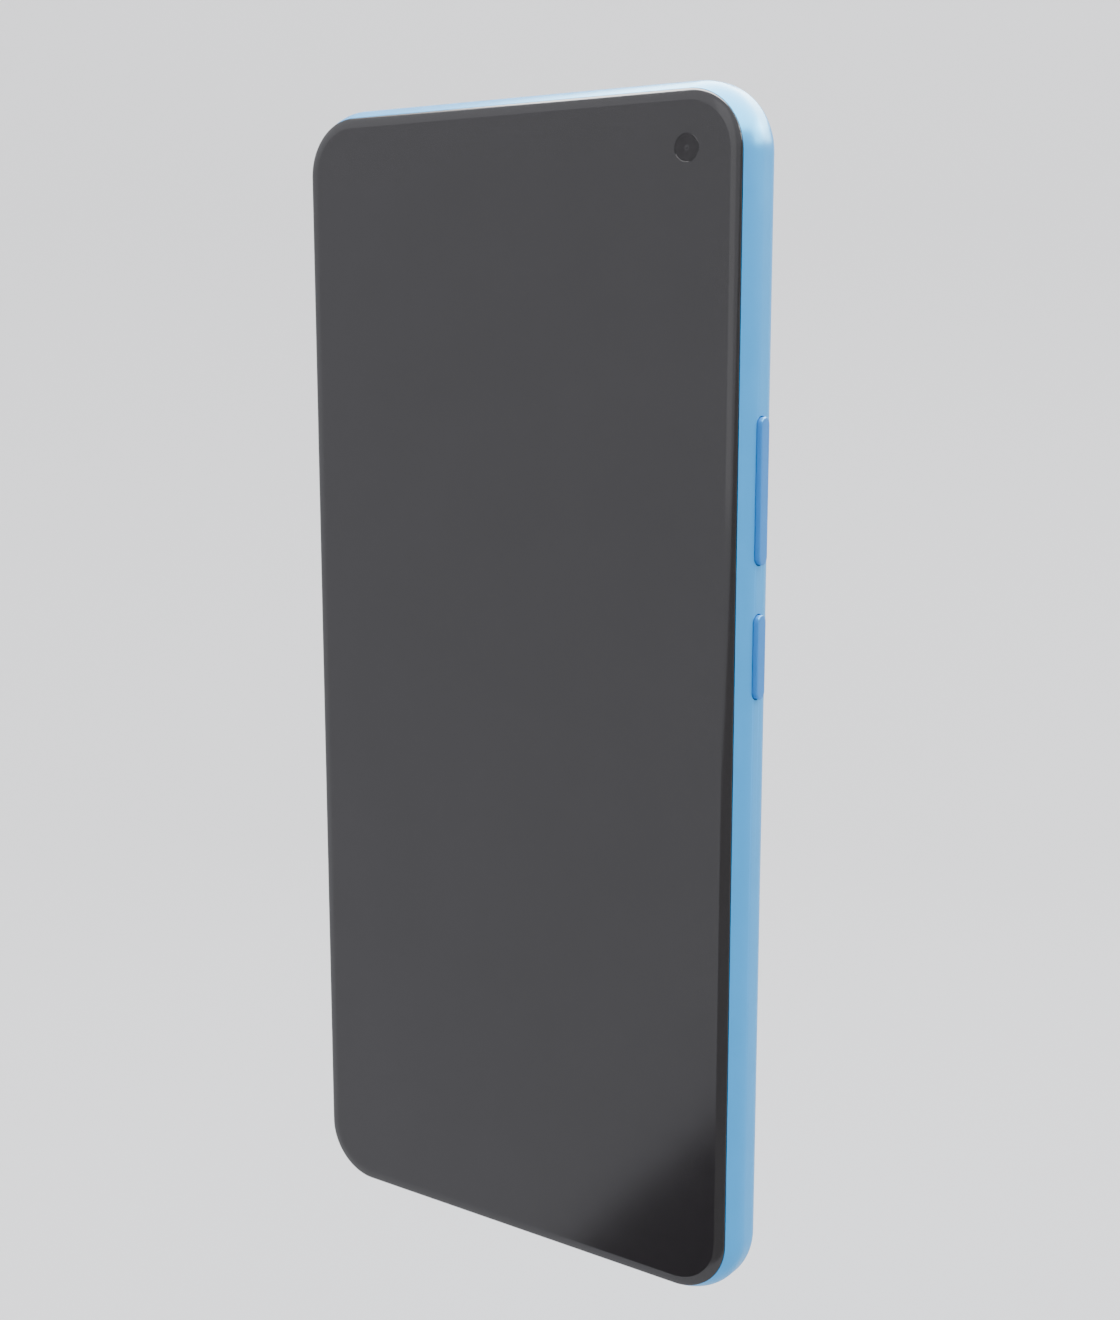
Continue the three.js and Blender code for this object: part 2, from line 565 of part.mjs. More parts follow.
function addSubBoard() {
  const corners = [BOARD_CORNER, BOARD_CORNER, 0, 0];
  const holes = screwHoles([...LOWER_LEFT_SCREW, ...LOWER_RIGHT_SCREW]);
  const board = plate([-33.2, 33.2], [-79, -53.5], [3.6, 4.3], corners, holes);
  add("sub_board", cut(board, [box([-5, 5], [3, 5], [-80, -73.4])]), "board");
  const coverCorners = [BOARD_CORNER, 0, 0, 0];
  const coverHoles = screwHoles(LOWER_LEFT_SCREW);
  add("lower_cover", plate([-32.8, 6.6], [-78.6, -57.6], COVER_Y, coverCorners, coverHoles), "plastic");
  const mic = box([BOTTOM_MIC_X - 1.7, BOTTOM_MIC_X + 1.7], [4.4, 5.4], [-78.4, -75.8]);
  add("microphone_bottom", mic, "steel");
}

function addSocket() {
  const { width, height, wall, z } = USB;
  const shell = stadium(width, height, z, PORT_Y);
  const throat = stadium(width - 2 * wall, height - 2 * wall, [z[0] - 1, z[1] - 0.5], PORT_Y);
  add("usb_c_shell", cut(shell, [throat]), "steel");
  const tongueY = [PORT_Y - 0.35, PORT_Y + 0.35];
  add("usb_c_tongue", box([-3.35, 3.35], tongueY, [-79.8, z[1] - 0.6]), "plastic");
  const collar = stadium(width + 1.4, height + 0.7, [-79.6, -79.05], PORT_Y);
  const collarHole = stadium(width + 0.3, height + 0.3, [-81, -79], PORT_Y);
  add("usb_gasket", cut(collar, [collarHole]), "rubber");
}

function addLoudspeaker() {
  const holes = screwHoles(LOWER_RIGHT_SCREW);
  const block = plate([7.6, 33], [-79, -57.6], [4.45, COVER_Y[1]], [1, BOARD_CORNER, 0, 0], holes);
  const throat = box(SOUND_BOX_X, [4.9, 6.4], [-80, -71]);
  add("loudspeaker_box", cut(block, [throat]), "plastic");
  add("speaker_mesh", box(SOUND_BOX_X, [3.7, 5.5], [-79.85, -79.55]), "mesh");
}

function addMotor() {
  const canOuter = cylinderY(MOTOR, MOTOR.radius, [4.75, 6.4], 20);
  const canInner = cylinderY(MOTOR, MOTOR.radius - 0.35, [4, 6.1], 20);
  add("vibration_motor_can", cut(canOuter, [canInner]), "steel");
  const disc = cylinderY(MOTOR, MOTOR.radius, [4.4, 4.62], 20);
  const spindle = cylinderY(MOTOR, 0.4, [4.5, 5.95]);
  add("vibration_motor_base", join([disc, spindle]), "steel");
  const weight = cylinderY(MOTOR, 4.1, [4.85, 5.85], 20);
  const hub = cylinderY(MOTOR, 1.3, [4.85, 5.85]);
  const half = box([MOTOR.x - 6, MOTOR.x + 6], [4, 7], [MOTOR.z, MOTOR.z + 6]);
  const rotor = join([cut(weight, [half]), hub]);
  add("vibration_motor_rotor", cut(rotor, [cylinderY(MOTOR, 0.55, [4, 7])]), "alloy");
}

function addScrews() {
  const seat = COVER_Y[1] + 0.02;
  const shank = [[0, 2.75], [0.6, 2.75], [0.6, seat]];
  const head = [[1.2, seat], [1.2, seat + 0.25], [0.9, seat + 0.36], [0, seat + 0.36]];
  const profile = [...shank, ...head];
  SCREWS.forEach(([x, z], index) => add(`screw_${index + 1}`, lathe(profile, { x, z }, 10), "steel"));
}

addScreen();
addMidFrame();
addHousing();
addKeys();
addFrontCamera();
addIsland();
addRearCameras();
addMainBoard();
addSimDrawer();
addBattery();
addSubBoard();
addSocket();
addLoudspeaker();
addMotor();
addScrews();

export default phone;
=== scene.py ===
import json
import math

import bmesh
import bpy
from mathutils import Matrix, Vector


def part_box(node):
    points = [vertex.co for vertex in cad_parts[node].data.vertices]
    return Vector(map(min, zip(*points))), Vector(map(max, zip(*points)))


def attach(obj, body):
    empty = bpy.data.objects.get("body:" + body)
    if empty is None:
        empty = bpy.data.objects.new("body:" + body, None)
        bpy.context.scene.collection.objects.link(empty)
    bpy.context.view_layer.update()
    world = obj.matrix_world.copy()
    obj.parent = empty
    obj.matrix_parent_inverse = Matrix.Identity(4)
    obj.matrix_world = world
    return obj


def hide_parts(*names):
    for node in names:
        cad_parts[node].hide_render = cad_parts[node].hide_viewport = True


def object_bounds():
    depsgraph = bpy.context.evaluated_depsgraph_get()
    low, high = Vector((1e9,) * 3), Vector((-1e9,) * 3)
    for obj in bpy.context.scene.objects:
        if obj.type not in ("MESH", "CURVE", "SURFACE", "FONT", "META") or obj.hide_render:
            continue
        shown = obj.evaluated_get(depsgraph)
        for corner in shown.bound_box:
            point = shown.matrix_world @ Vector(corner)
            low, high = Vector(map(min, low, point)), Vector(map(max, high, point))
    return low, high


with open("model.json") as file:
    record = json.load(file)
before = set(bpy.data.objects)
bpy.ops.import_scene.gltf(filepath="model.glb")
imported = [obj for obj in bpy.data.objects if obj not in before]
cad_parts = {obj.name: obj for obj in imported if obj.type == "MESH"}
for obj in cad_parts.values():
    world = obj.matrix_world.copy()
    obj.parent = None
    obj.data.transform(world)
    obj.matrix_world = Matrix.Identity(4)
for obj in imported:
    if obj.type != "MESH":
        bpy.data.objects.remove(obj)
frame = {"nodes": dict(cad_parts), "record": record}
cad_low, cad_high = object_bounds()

MM = 0.001
BODY = "phone_body"


def extent(*nodes):
    """The centre and size of CAD nodes at rest."""
    boxes = [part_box(node) for node in nodes]
    low = [min(box[0][axis] for box in boxes) for axis in range(3)]
    high = [max(box[1][axis] for box in boxes) for axis in range(3)]
    return (Vector(low) + Vector(high)) / 2, Vector(high) - Vector(low)


# ---------------------------------------------------------------- materials

class Surface:
    """A Principled material with helpers that grow its procedural nodes."""

    def __init__(self, name, colour, roughness, metallic=0.0):
        self.material = bpy.data.materials.new(name)
        self.material.use_nodes = True
        self.tree = self.material.node_tree
        self.shader = self.tree.nodes["Principled BSDF"]
        self.colour = colour
        self.roughness = roughness
        self.put("Base Color", (*colour, 1.0))
        self.put("Roughness", roughness)
        self.put("Metallic", metallic)
        self.coords = self.add("ShaderNodeTexCoord").outputs["Object"]

    def add(self, kind, **settings):
        node = self.tree.nodes.new(kind)
        for key, value in settings.items():
            setattr(node, key, value)
        return node

    def link(self, source, target):
        self.tree.links.new(source, target)

    def put(self, socket, value):
        self.shader.inputs[socket].default_value = value

    def noise(self, per_metre, detail=3.0, stretch=(1, 1, 1)):
        """Noise with that many features to the metre, pulled along an axis by stretch."""
        mapping = self.add("ShaderNodeMapping")
        mapping.inputs["Scale"].default_value = stretch
        self.link(self.coords, mapping.inputs["Vector"])
        node = self.add("ShaderNodeTexNoise")
        node.inputs["Scale"].default_value = per_metre
        node.inputs["Detail"].default_value = detail
        self.link(mapping.outputs["Vector"], node.inputs["Vector"])
        return node.outputs["Fac"]

    def spread(self, source, low, high, start=0.3, stop=0.7):
        """Maps a 0..1 value onto low..high."""
        node = self.add("ShaderNodeMapRange")
        node.inputs["From Min"].default_value = start
        node.inputs["From Max"].default_value = stop
        node.inputs["To Min"].default_value = low
        node.inputs["To Max"].default_value = high
        self.link(source, node.inputs["Value"])
        return node.outputs["Result"]

    def mix(self, factor, first, second):
        node = self.add("ShaderNodeMix", data_type="RGBA")
        for socket, value in ((node.inputs[6], first), (node.inputs[7], second)):
            if isinstance(value, tuple):
                socket.default_value = (*value, 1.0)
            else:
                self.link(value, socket)
        self.link(factor, node.inputs[0])
        return node.outputs[2]

    def mottle(self, amount, per_metre):
        """Slow drift of the colour, darker and lighter by that share."""
        darker = tuple(channel * (1 - amount) for channel in self.colour)
        lighter = tuple(min(channel * (1 + amount), 1.0) for channel in self.colour)
        factor = self.spread(self.noise(per_metre), 0.0, 1.0)
        self.base = self.mix(factor, darker, lighter)
        self.link(self.base, self.shader.inputs["Base Color"])
        return self

    def vary_roughness(self, amount, per_metre):
        """Slow drift of the gloss about the material's own roughness."""
        low = max(self.roughness - amount, 0.02)
        value = self.spread(self.noise(per_metre, 4.0), low, self.roughness + amount)
        self.link(value, self.shader.inputs["Roughness"])
        return self

    def bump(self, height, per_metre, detail=2.0, stretch=(1, 1, 1)):
        node = self.add("ShaderNodeBump")
        node.inputs["Strength"].default_value = 1.0
        node.inputs["Distance"].default_value = height
        self.link(self.noise(per_metre, detail, stretch), node.inputs["Height"])
        self.link(node.outputs["Normal"], self.shader.inputs["Normal"])
        return self

    def wear(self, colour, start, stop):
        """Rubs convex edges to another colour."""
        pointiness = self.add("ShaderNodeNewGeometry").outputs["Pointiness"]
        scuffs = self.spread(self.noise(900, 5.0), 0.55, 1.0)
        edge = self.spread(pointiness, 0.0, 1.0, start, stop)
        product = self.add("ShaderNodeMath", operation="MULTIPLY", use_clamp=True)
        self.link(edge, product.inputs[0])
        self.link(scuffs, product.inputs[1])
        self.link(self.mix(product.outputs[0], self.base, colour), self.shader.inputs["Base Color"])
        return self


def lacquer(name, colour):
    """Satin pearl lacquer with a faint orange peel, rubbed lighter on its edges."""
    surface = Surface(name, colour, 0.25, 0.12).mottle(0.02, 160).vary_roughness(0.02, 420)
    surface.bump(0.002 * MM, 1500)
    surface.wear(tuple(min(channel * 1.25, 1.0) for channel in colour), 0.6, 0.75)
    surface.put("Specular IOR Level", 0.6)
    surface.put("Specular Tint", (0.15, 1.0, 0.97, 1.0))
    return surface.material


def screen_surface():
    surface = Surface("screen_glass", (0.0105, 0.0095, 0.0105), 0.12)
    surface.mottle(0.06, 60).vary_roughness(0.01, 350).bump(0.00004 * MM, 2500)
    surface.put("Specular IOR Level", 1.0)
    return surface.material


def metal(name, colour, roughness, stretch=(1, 1, 1), grain=0.0008 * MM):
    surface = Surface(name, colour, roughness, 1.0).mottle(0.04, 300)
    return surface.vary_roughness(0.02, 900).bump(grain, 6000, 2.0, stretch).material


def moulded(name, colour, roughness=0.55, grain=0.01 * MM, per_metre=5000):
    surface = Surface(name, colour, roughness).mottle(0.12, 400).vary_roughness(0.08, 1500)
    return surface.bump(grain, per_metre).material


def lens_surface(name, tint):
    """Dark coated glass: a tinted sheen over a black pupil."""
    surface = Surface(name, (0.003, 0.004, 0.006), 0.05)
    surface.mottle(0.2, 700).vary_roughness(0.02, 2500)
    surface.put("Specular IOR Level", 0.55)
    surface.put("Specular Tint", (*tint, 1.0))
    return surface.material


def lens_black():
    """Flocked black inside the lens barrels."""
    surface = Surface("lens_black", (0.004, 0.004, 0.005), 0.5)
    surface.mottle(0.2, 900).vary_roughness(0.08, 2500)
    surface.put("Specular IOR Level", 0.2)
    return surface.bump(0.003 * MM, 6000).material


def board_surface():
    """Solder mask with copper tracks showing through as lighter, slightly raised lines."""
    surface = Surface("solder_mask", (0.012, 0.07, 0.04), 0.35).mottle(0.15, 500)
    bricks = surface.add("ShaderNodeTexBrick")
    bricks.inputs["Scale"].default_value = 900
    bricks.inputs["Mortar Size"].default_value = 0.05
    swizzle = surface.add("ShaderNodeMapping")
    swizzle.inputs["Rotation"].default_value = (math.pi / 2, 0, 0)
    surface.link(surface.coords, swizzle.inputs["Vector"])
    surface.link(swizzle.outputs["Vector"], bricks.inputs["Vector"])
    lines = bricks.outputs["Fac"]
    colour = surface.mix(lines, surface.base, (0.03, 0.16, 0.08))
    surface.link(colour, surface.shader.inputs["Base Color"])
    relief = surface.add("ShaderNodeBump")
    relief.inputs["Distance"].default_value = 0.03 * MM
    surface.link(lines, relief.inputs["Height"])
    surface.link(relief.outputs["Normal"], surface.shader.inputs["Normal"])
    return surface.vary_roughness(0.08, 1200).material


BLUE = (0.038, 0.28, 0.64)
KEY_BLUE = (0.03, 0.17, 0.5)
FINISHES = {
    "cover_glass": screen_surface(),
    "display": moulded("display_stack", (0.01, 0.01, 0.012), 0.25, 0.001 * MM),
    "blue_shell": lacquer("blue_lacquer", BLUE),
    "key_shell": lacquer("key_lacquer", KEY_BLUE),
    "lens_glass": lens_surface("lens_coating", (0.75, 0.82, 1.0)),
    "lens_ring": metal("anodised_blue", (0.08, 0.28, 0.56), 0.3),
    "steel": metal("stamped_steel", (0.62, 0.63, 0.64), 0.32, (1, 1, 12)),
    "alloy": metal("die_cast_alloy", (0.45, 0.46, 0.47), 0.5, grain=0.01 * MM),
    "board": board_surface(),
    "flex": moulded("polyimide", (0.32, 0.12, 0.02), 0.35, 0.003 * MM, 3000),
    "pouch": metal("foil_pouch", (0.06, 0.065, 0.07), 0.42, grain=0.02 * MM),
    "black_plastic": moulded("black_plastic", (0.018, 0.018, 0.02)),
    "seal_rubber": moulded("seal_rubber", (0.012, 0.012, 0.012), 0.75, 0.02 * MM),
    "fine_mesh": metal("acoustic_mesh", (0.12, 0.12, 0.13), 0.5),
    "amber_optic": moulded("flash_optic", (0.80, 0.66, 0.34), 0.18, 0.02 * MM, 2200),
}
LENS_BLACK = lens_black()
GOLD = metal("gold_plate", (0.85, 0.58, 0.22), 0.25)
COPPER = metal("copper_track", (0.75, 0.36, 0.2), 0.35)
CERAMIC = moulded("chip_ceramic", (0.30, 0.21, 0.12), 0.5, 0.004 * MM)


# ---------------------------------------------------------------- mesh building

def make_object(name, bm):
    bmesh.ops.remove_doubles(bm, verts=bm.verts, dist=0.0005 * MM)
    bmesh.ops.recalc_face_normals(bm, faces=bm.faces)
    mesh = bpy.data.meshes.new(name)
    bm.to_mesh(mesh)
    bm.free()
    piece = bpy.data.objects.new(name, mesh)
    bpy.context.scene.collection.objects.link(piece)
    return piece


def rounded_loop(width, height, radius, steps):
    """Points (u, v) of a rounded rectangle about the origin, anticlockwise."""
    points = []
    for quarter, (side_u, side_v) in enumerate(((1, 1), (-1, 1), (-1, -1), (1, -1))):
        centre_u = side_u * (width / 2 - radius)
        centre_v = side_v * (height / 2 - radius)
        for step in range(steps + 1):
            angle = (quarter + step / steps) * math.pi / 2
            points.append((centre_u + radius * math.cos(angle), centre_v + radius * math.sin(angle)))
    return points


def face_on(direction):
    """A function from (u, v, depth) to a point, for an outline looking out along direction.

    v runs up along Z on upright faces, and depth runs inwards from the outer face.
    """
    outwards = Vector(direction)
    up = Vector((0, 0, 1)) if abs(outwards.z) < 0.5 else Vector((0, 1, 0))
    across = up.cross(outwards)
    return lambda u, v, depth: across * u + up * v - outwards * depth


FRONT, BACK, RIGHT, LEFT = (0, -1, 0), (0, 1, 0), (1, 0, 0), (-1, 0, 0)
DOWN, TOP = (0, 0, -1), (0, 0, 1)


def loft(bm, origin, direction, size, radius, layers, steps=16, hollow=False):
    """A closed rounded block: layers are (inset, depth), from the outer face inwards.

    A hollow one is a frame whose section is the closed run of its layers.
    """
    place = face_on(direction)
    rings = []
    for inset, depth in layers:
        outline = rounded_loop(
            size[0] - 2 * inset, size[1] - 2 * inset, max(radius - inset, 0.02 * MM), steps)
        rings.append([bm.verts.new(origin + place(u, v, depth)) for u, v in outline])
    if hollow:
        rings.append(rings[0])
    for ring, following in zip(rings, rings[1:]):
        for k, vertex in enumerate(ring):
            after = (k + 1) % len(ring)
            bm.faces.new((vertex, ring[after], following[after], following[k]))
    if not hollow:
        bm.faces.new(rings[0])
        bm.faces.new(list(reversed(rings[-1])))
    return bm


def spin(bm, origin, direction, profile, steps=48):
    """A turned solid: profile is (radius, depth) from axis to axis, or a closed ring."""
    place = face_on(direction)
    rings = []
    for radius, depth in profile:
        if radius < 1e-9:
            rings.append([bm.verts.new(origin + place(0, 0, depth))])
            continue
        turns = [2 * math.pi * k / steps for k in range(steps)]
        circle = [(radius * math.cos(angle), radius * math.sin(angle)) for angle in turns]
        rings.append([bm.verts.new(origin + place(u, v, depth)) for u, v in circle])
    for ring, following in zip(rings, rings[1:]):
        for k in range(steps):
            after = (k + 1) % steps
            corners = [ring[k % len(ring)], ring[after % len(ring)],
                       following[after % len(following)], following[k % len(following)]]
            bm.faces.new(list(dict.fromkeys(corners)))
    return bm


def dome(radius, rise, steps=10):
    """(radius, depth) of a shallow dome whose top is at depth 0."""
    return [(radius * math.sin(k / steps * math.pi / 2), rise * (1 - math.cos(k / steps * math.pi / 2)))
            for k in range(steps + 1)]


def plug(radius, start, stop):
    """The profile of a plain round plug between two depths."""
    return [(0, start), (radius, start), (radius, stop), (0, stop)]


def block(bm, low, high):
    centre = (Vector(low) + Vector(high)) / 2
    size = Vector(high) - Vector(low)
    result = bmesh.ops.create_cube(bm, size=1.0)
    for vertex in result["verts"]:
        vertex.co = Vector((vertex.co.x * size.x, vertex.co.y * size.y, vertex.co.z * size.z)) + centre
    return bm


def quarter_round(width, drop, steps, start=0.0):
    """(inset, depth) steps of a quarter ellipse from a face edge into a side wall."""
    points = []
    for step in range(steps + 1):
        angle = (start + (1 - start) * step / steps) * math.pi / 2
        points.append((width * (1 - math.sin(angle)), drop * (1 - math.cos(angle))))
    return points


def modified(piece):
    """Applies the modifiers of a piece."""
    graph = bpy.context.evaluated_depsgraph_get()
    graph.update()
    mesh = bpy.data.meshes.new_from_object(piece.evaluated_get(graph))
    piece.modifiers.clear()
    piece.data = mesh
    return piece


def combine(piece, others, operation):
    """Cuts other pieces out of a piece or joins them to it, and removes them."""
    for other in others:
        modifier = piece.modifiers.new("combine", "BOOLEAN")
        modifier.operation = operation
        modifier.solver = "EXACT"
        modifier.object = other
    modified(piece)
    for other in others:
        mesh = other.data
        bpy.data.objects.remove(other)
        bpy.data.meshes.remove(mesh)
    return piece


def cut_away(piece, cutters):
    return combine(piece, cutters, "DIFFERENCE")


def unite(piece, *others):
    return combine(piece, others, "UNION")


def soften(piece, width, segments=2, angle=35):
    """Breaks the sharp edges and shades smoothly between them."""
    if width:
        modifier = piece.modifiers.new("edges", "BEVEL")
        modifier.width = width
        modifier.segments = segments
        modifier.limit_method = "ANGLE"
        modifier.angle_limit = math.radians(angle)
        modifier.harden_normals = True
        modifier.use_clamp_overlap = True
    piece.data.shade_smooth()
    piece.data.set_sharp_from_angle(angle=math.radians(angle))
    return piece


def finish_piece(piece, slot, *replaced, body=BODY, material=None):
    """Gives a piece its slot's material, or the one given, hangs it under its body, and hides the CAD
    nodes it replaces.
    """
    piece.data.materials.clear()
    piece.data.materials.append(material or FINISHES[slot])
    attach(piece, body)
    if replaced:
        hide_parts(*replaced)
    return piece


# ---------------------------------------------------------------- front glass

GLASS_CENTRE, GLASS_SIZE = extent("front_glass")
SHELL_CENTRE, SHELL_SIZE = extent("rear_housing")
GLASS_CORNER = 7.8 * MM
BORDER_WIDTH = 1.38 * MM
BORDER_DROP = 0.44 * MM
BORDER_PULL = (0.3 * MM, 0.19 * MM)
SEAM_FILL = 0.06 * MM
RIM_OVERHANG = (SHELL_SIZE.x - GLASS_SIZE.x) / 2
EYE_CENTRE = extent("front_camera_lens")[0]
EYE_RADIUS = 1.78 * MM


def bend(start, pull, end, steps):
    """(inset, depth) points of a curve that leaves start towards pull and arrives at end from it."""
    points = []
    for step in range(steps + 1):
        t = step / steps
        weights = ((1 - t) ** 2, 2 * t * (1 - t), t ** 2)
        points.append(tuple(
            sum(weight * point[axis] for weight, point in zip(weights, (start, pull, end)))
            for axis in (0, 1)))
    return points


def build_glass():
    """The cover glass with its curved border and camera opening."""
    front = Vector((GLASS_CENTRE.x, 0, GLASS_CENTRE.z))
    size = (GLASS_SIZE.x + 2 * SEAM_FILL, GLASS_SIZE.z + 2 * SEAM_FILL)
    layers = bend((BORDER_WIDTH, 0), BORDER_PULL, (0, BORDER_DROP), 12)
    layers += [(0, 0.8 * MM), (0, 0.92 * MM), (0.08 * MM, GLASS_SIZE.y)]
    piece = make_object("screen_glass", loft(bmesh.new(), front, FRONT, size, GLASS_CORNER, layers, 32))
    eye_at = Vector((EYE_CENTRE.x, 0, EYE_CENTRE.z))
    opening = plug(EYE_RADIUS, -1 * MM, 0.05 * MM)
    well = make_object("eye_cutter", spin(bmesh.new(), eye_at, FRONT, opening, 96))
    cut_away(piece, [well])
    soften(piece, 0, angle=8)
    return finish_piece(piece, "cover_glass", "front_glass")


def build_front_eye():
    """The punch hole: a flat dark disc with a bevelled rim and a small lens in a well."""
    origin = Vector((EYE_CENTRE.x, 0, EYE_CENTRE.z))
    radius = EYE_RADIUS - 0.02 * MM
    face, crest = 0.02 * MM, 0.005 * MM
    lens, well = 0.3 * MM, 0.38 * MM
    profile = [(r, depth + crest) for r, depth in dome(lens, 0.2 * MM, 12)]
    profile += [(lens + 0.01 * MM, 0.22 * MM), (well, 0.22 * MM), (well, face)]
    profile += [(radius - 0.06 * MM, face), (radius - 0.045 * MM, crest), (radius - 0.025 * MM, crest)]
    profile += [(radius, 0.03 * MM), (radius, 0.3 * MM), (0, 0.3 * MM)]
    piece = make_object("front_camera_eye", spin(bmesh.new(), origin, FRONT, profile, 96))
    soften(piece, 0, angle=25)
    surface = Surface("eye_black", (0.012, 0.011, 0.012), 0.12)
    surface.mottle(0.2, 900).vary_roughness(0.03, 2000)
    return finish_piece(piece, "lens_glass", material=surface.material)


# ---------------------------------------------------------------- one-piece body

PORT_Y = extent("usb_c_shell")[0].y
RIM_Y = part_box("rear_housing")[0][1]
RIM_DEPTH = 3.3 * MM
RIM_SLOPE = 1.6
RIM_LAND = 0.04 * MM
BACK_RADIUS = 3.1 * MM
SIDE_WALL = 1.25 * MM
BACK_WALL = 0.9 * MM
SLOT_GAP = 0.12 * MM
KEY_CAP_WIDTH = 2.1 * MM
ISLAND_CORNER = 6.2 * MM


def back_corner(radius, depth, steps):
    """(inset, depth) steps from a side wall round into a back face at that depth."""
    angles = [step / steps * math.pi / 2 for step in range(steps + 1)]
    return [(radius * (1 - math.cos(a)), depth - radius * (1 - math.sin(a))) for a in angles]


def shell_layers():
    """The outside of the body, from its front rim round to its back."""
    across = SIDE_WALL - RIM_LAND
    layers = bend((across, 0), (0, RIM_SLOPE * across), (0, RIM_DEPTH), 16)
    layers += back_corner(BACK_RADIUS, SHELL_SIZE.y, 16)
    return layers + [(BACK_RADIUS + 0.4 * MM, SHELL_SIZE.y)]


def pocket_cutter():
    """The hollow for the insides, open to the front."""
    layers = [(0, -1 * MM)] + back_corner(2.1 * MM, SHELL_SIZE.y - BACK_WALL, 8)
    size = (SHELL_SIZE.x - 2 * SIDE_WALL, SHELL_SIZE.z - 2 * SIDE_WALL)
    corner = GLASS_CORNER + RIM_OVERHANG - SIDE_WALL
    origin = Vector((SHELL_CENTRE.x, RIM_Y, SHELL_CENTRE.z))
    return make_object("pocket", loft(bmesh.new(), origin, FRONT, size, corner, layers, 24))


def slot_cutter(name, centre, direction, size, radius, reach):
    bm = loft(bmesh.new(), centre, direction, size, radius, [(0, -reach), (0, reach)], 12)
    return make_object(name, bm)


def hole_cutter(name, centre, direction, radius, reach):
    bm = spin(bmesh.new(), centre, direction, plug(radius, -reach, reach), 32)
    return make_object(name, bm)


def shell_cutters():
    """The pocket and the openings through the walls."""
    side = SHELL_SIZE.x / 2
    end = SHELL_SIZE.z / 2
    cutters = [pocket_cutter()]
    for node in ("volume_rocker", "power_button"):
        centre, size = extent(node)
        length = size.z - 1.4 * MM
        opening = (KEY_CAP_WIDTH + 2 * SLOT_GAP, length + 2 * SLOT_GAP)
        origin = Vector((side, centre.y, centre.z))
        cutters.append(slot_cutter(node + "_slot", origin, RIGHT, opening, opening[0] / 2.1, 2 * MM))
    centre, size = extent("sim_tray")
    opening = (size.y + 2 * SLOT_GAP, size.z + 2 * SLOT_GAP)
    origin = Vector((-side, PORT_Y, centre.z))
    cutters.append(slot_cutter("tray_slot", origin, LEFT, opening, opening[0] / 2.05, 2 * MM))
    centre, size = extent("usb_c_shell")
    opening = (size.x + 0.24 * MM, size.y + 0.24 * MM)
    origin = Vector((0, PORT_Y, -end))
    cutters.append(slot_cutter("socket_slot", origin, DOWN, opening, opening[1] / 2.01, 2 * MM))
    for index in range(6):
        origin = Vector(((12.4 + 2.4 * index) * MM, PORT_Y, -end))
        cutters.append(hole_cutter(f"sound_hole_{index}", origin, DOWN, 0.65 * MM, 2 * MM))
    for node, direction, sign in (("microphone_bottom", DOWN, -1), ("microphone_top", TOP, 1)):
        origin = Vector((extent(node)[0].x, PORT_Y, sign * end))
        cutters.append(hole_cutter(node + "_hole", origin, direction, 0.5 * MM, 2 * MM))
    centre, size = extent("camera_island_frame")
    origin = Vector((centre.x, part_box("rear_housing")[1][1], centre.z))
    opening = (size.x + 2 * SLOT_GAP, size.z + 2 * SLOT_GAP)
    cutters.append(slot_cutter("island_slot", origin, BACK, opening, ISLAND_CORNER + SLOT_GAP, 1.5 * MM))
    return cutters


def build_shell():
    origin = Vector((SHELL_CENTRE.x, RIM_Y, SHELL_CENTRE.z))
    size = (SHELL_SIZE.x, SHELL_SIZE.z)
    corner = GLASS_CORNER + RIM_OVERHANG
    bm = loft(bmesh.new(), origin, FRONT, size, corner, shell_layers(), 32)
    piece = cut_away(make_object("body_shell", bm), shell_cutters())
    soften(piece, 0.08 * MM, 2, 40)
    return finish_piece(piece, "blue_shell", "rear_housing")


# ---------------------------------------------------------------- side keys

def build_key(name, node, body):
    """A round-ended key cap with its retaining flange inside the wall."""
    centre, size = extent(node)
    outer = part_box(node)[1][0]
    cap_length = size.z - 1.4 * MM
    origin = Vector((outer, centre.y, centre.z))
    crown = [(0.5 * MM, 0.0)] + quarter_round(0.16 * MM, 0.18 * MM, 8, 0.12)
    cap = make_object(name, loft(bmesh.new(), origin, RIGHT, (KEY_CAP_WIDTH, cap_length), 1.04 * MM,
                                 crown + [(0, 2.3 * MM)], 14))
    rim = [(0.1 * MM, 2.13 * MM), (0, 2.23 * MM), (0, 2.75 * MM), (0.1 * MM, size.x)]
    flange = make_object("flange", loft(bmesh.new(), origin, RIGHT, (size.y, size.z), 1.2 * MM, rim, 10))
    piece = soften(unite(cap, flange), 0, angle=40)
    return finish_piece(piece, "key_shell", node, body=body)


# ---------------------------------------------------------------- rear camera island

def island_face(node):
    """The centre of a node's outermost face towards the back."""
    centre = extent(node)[0]
    return Vector((centre.x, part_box(node)[1][1], centre.z))


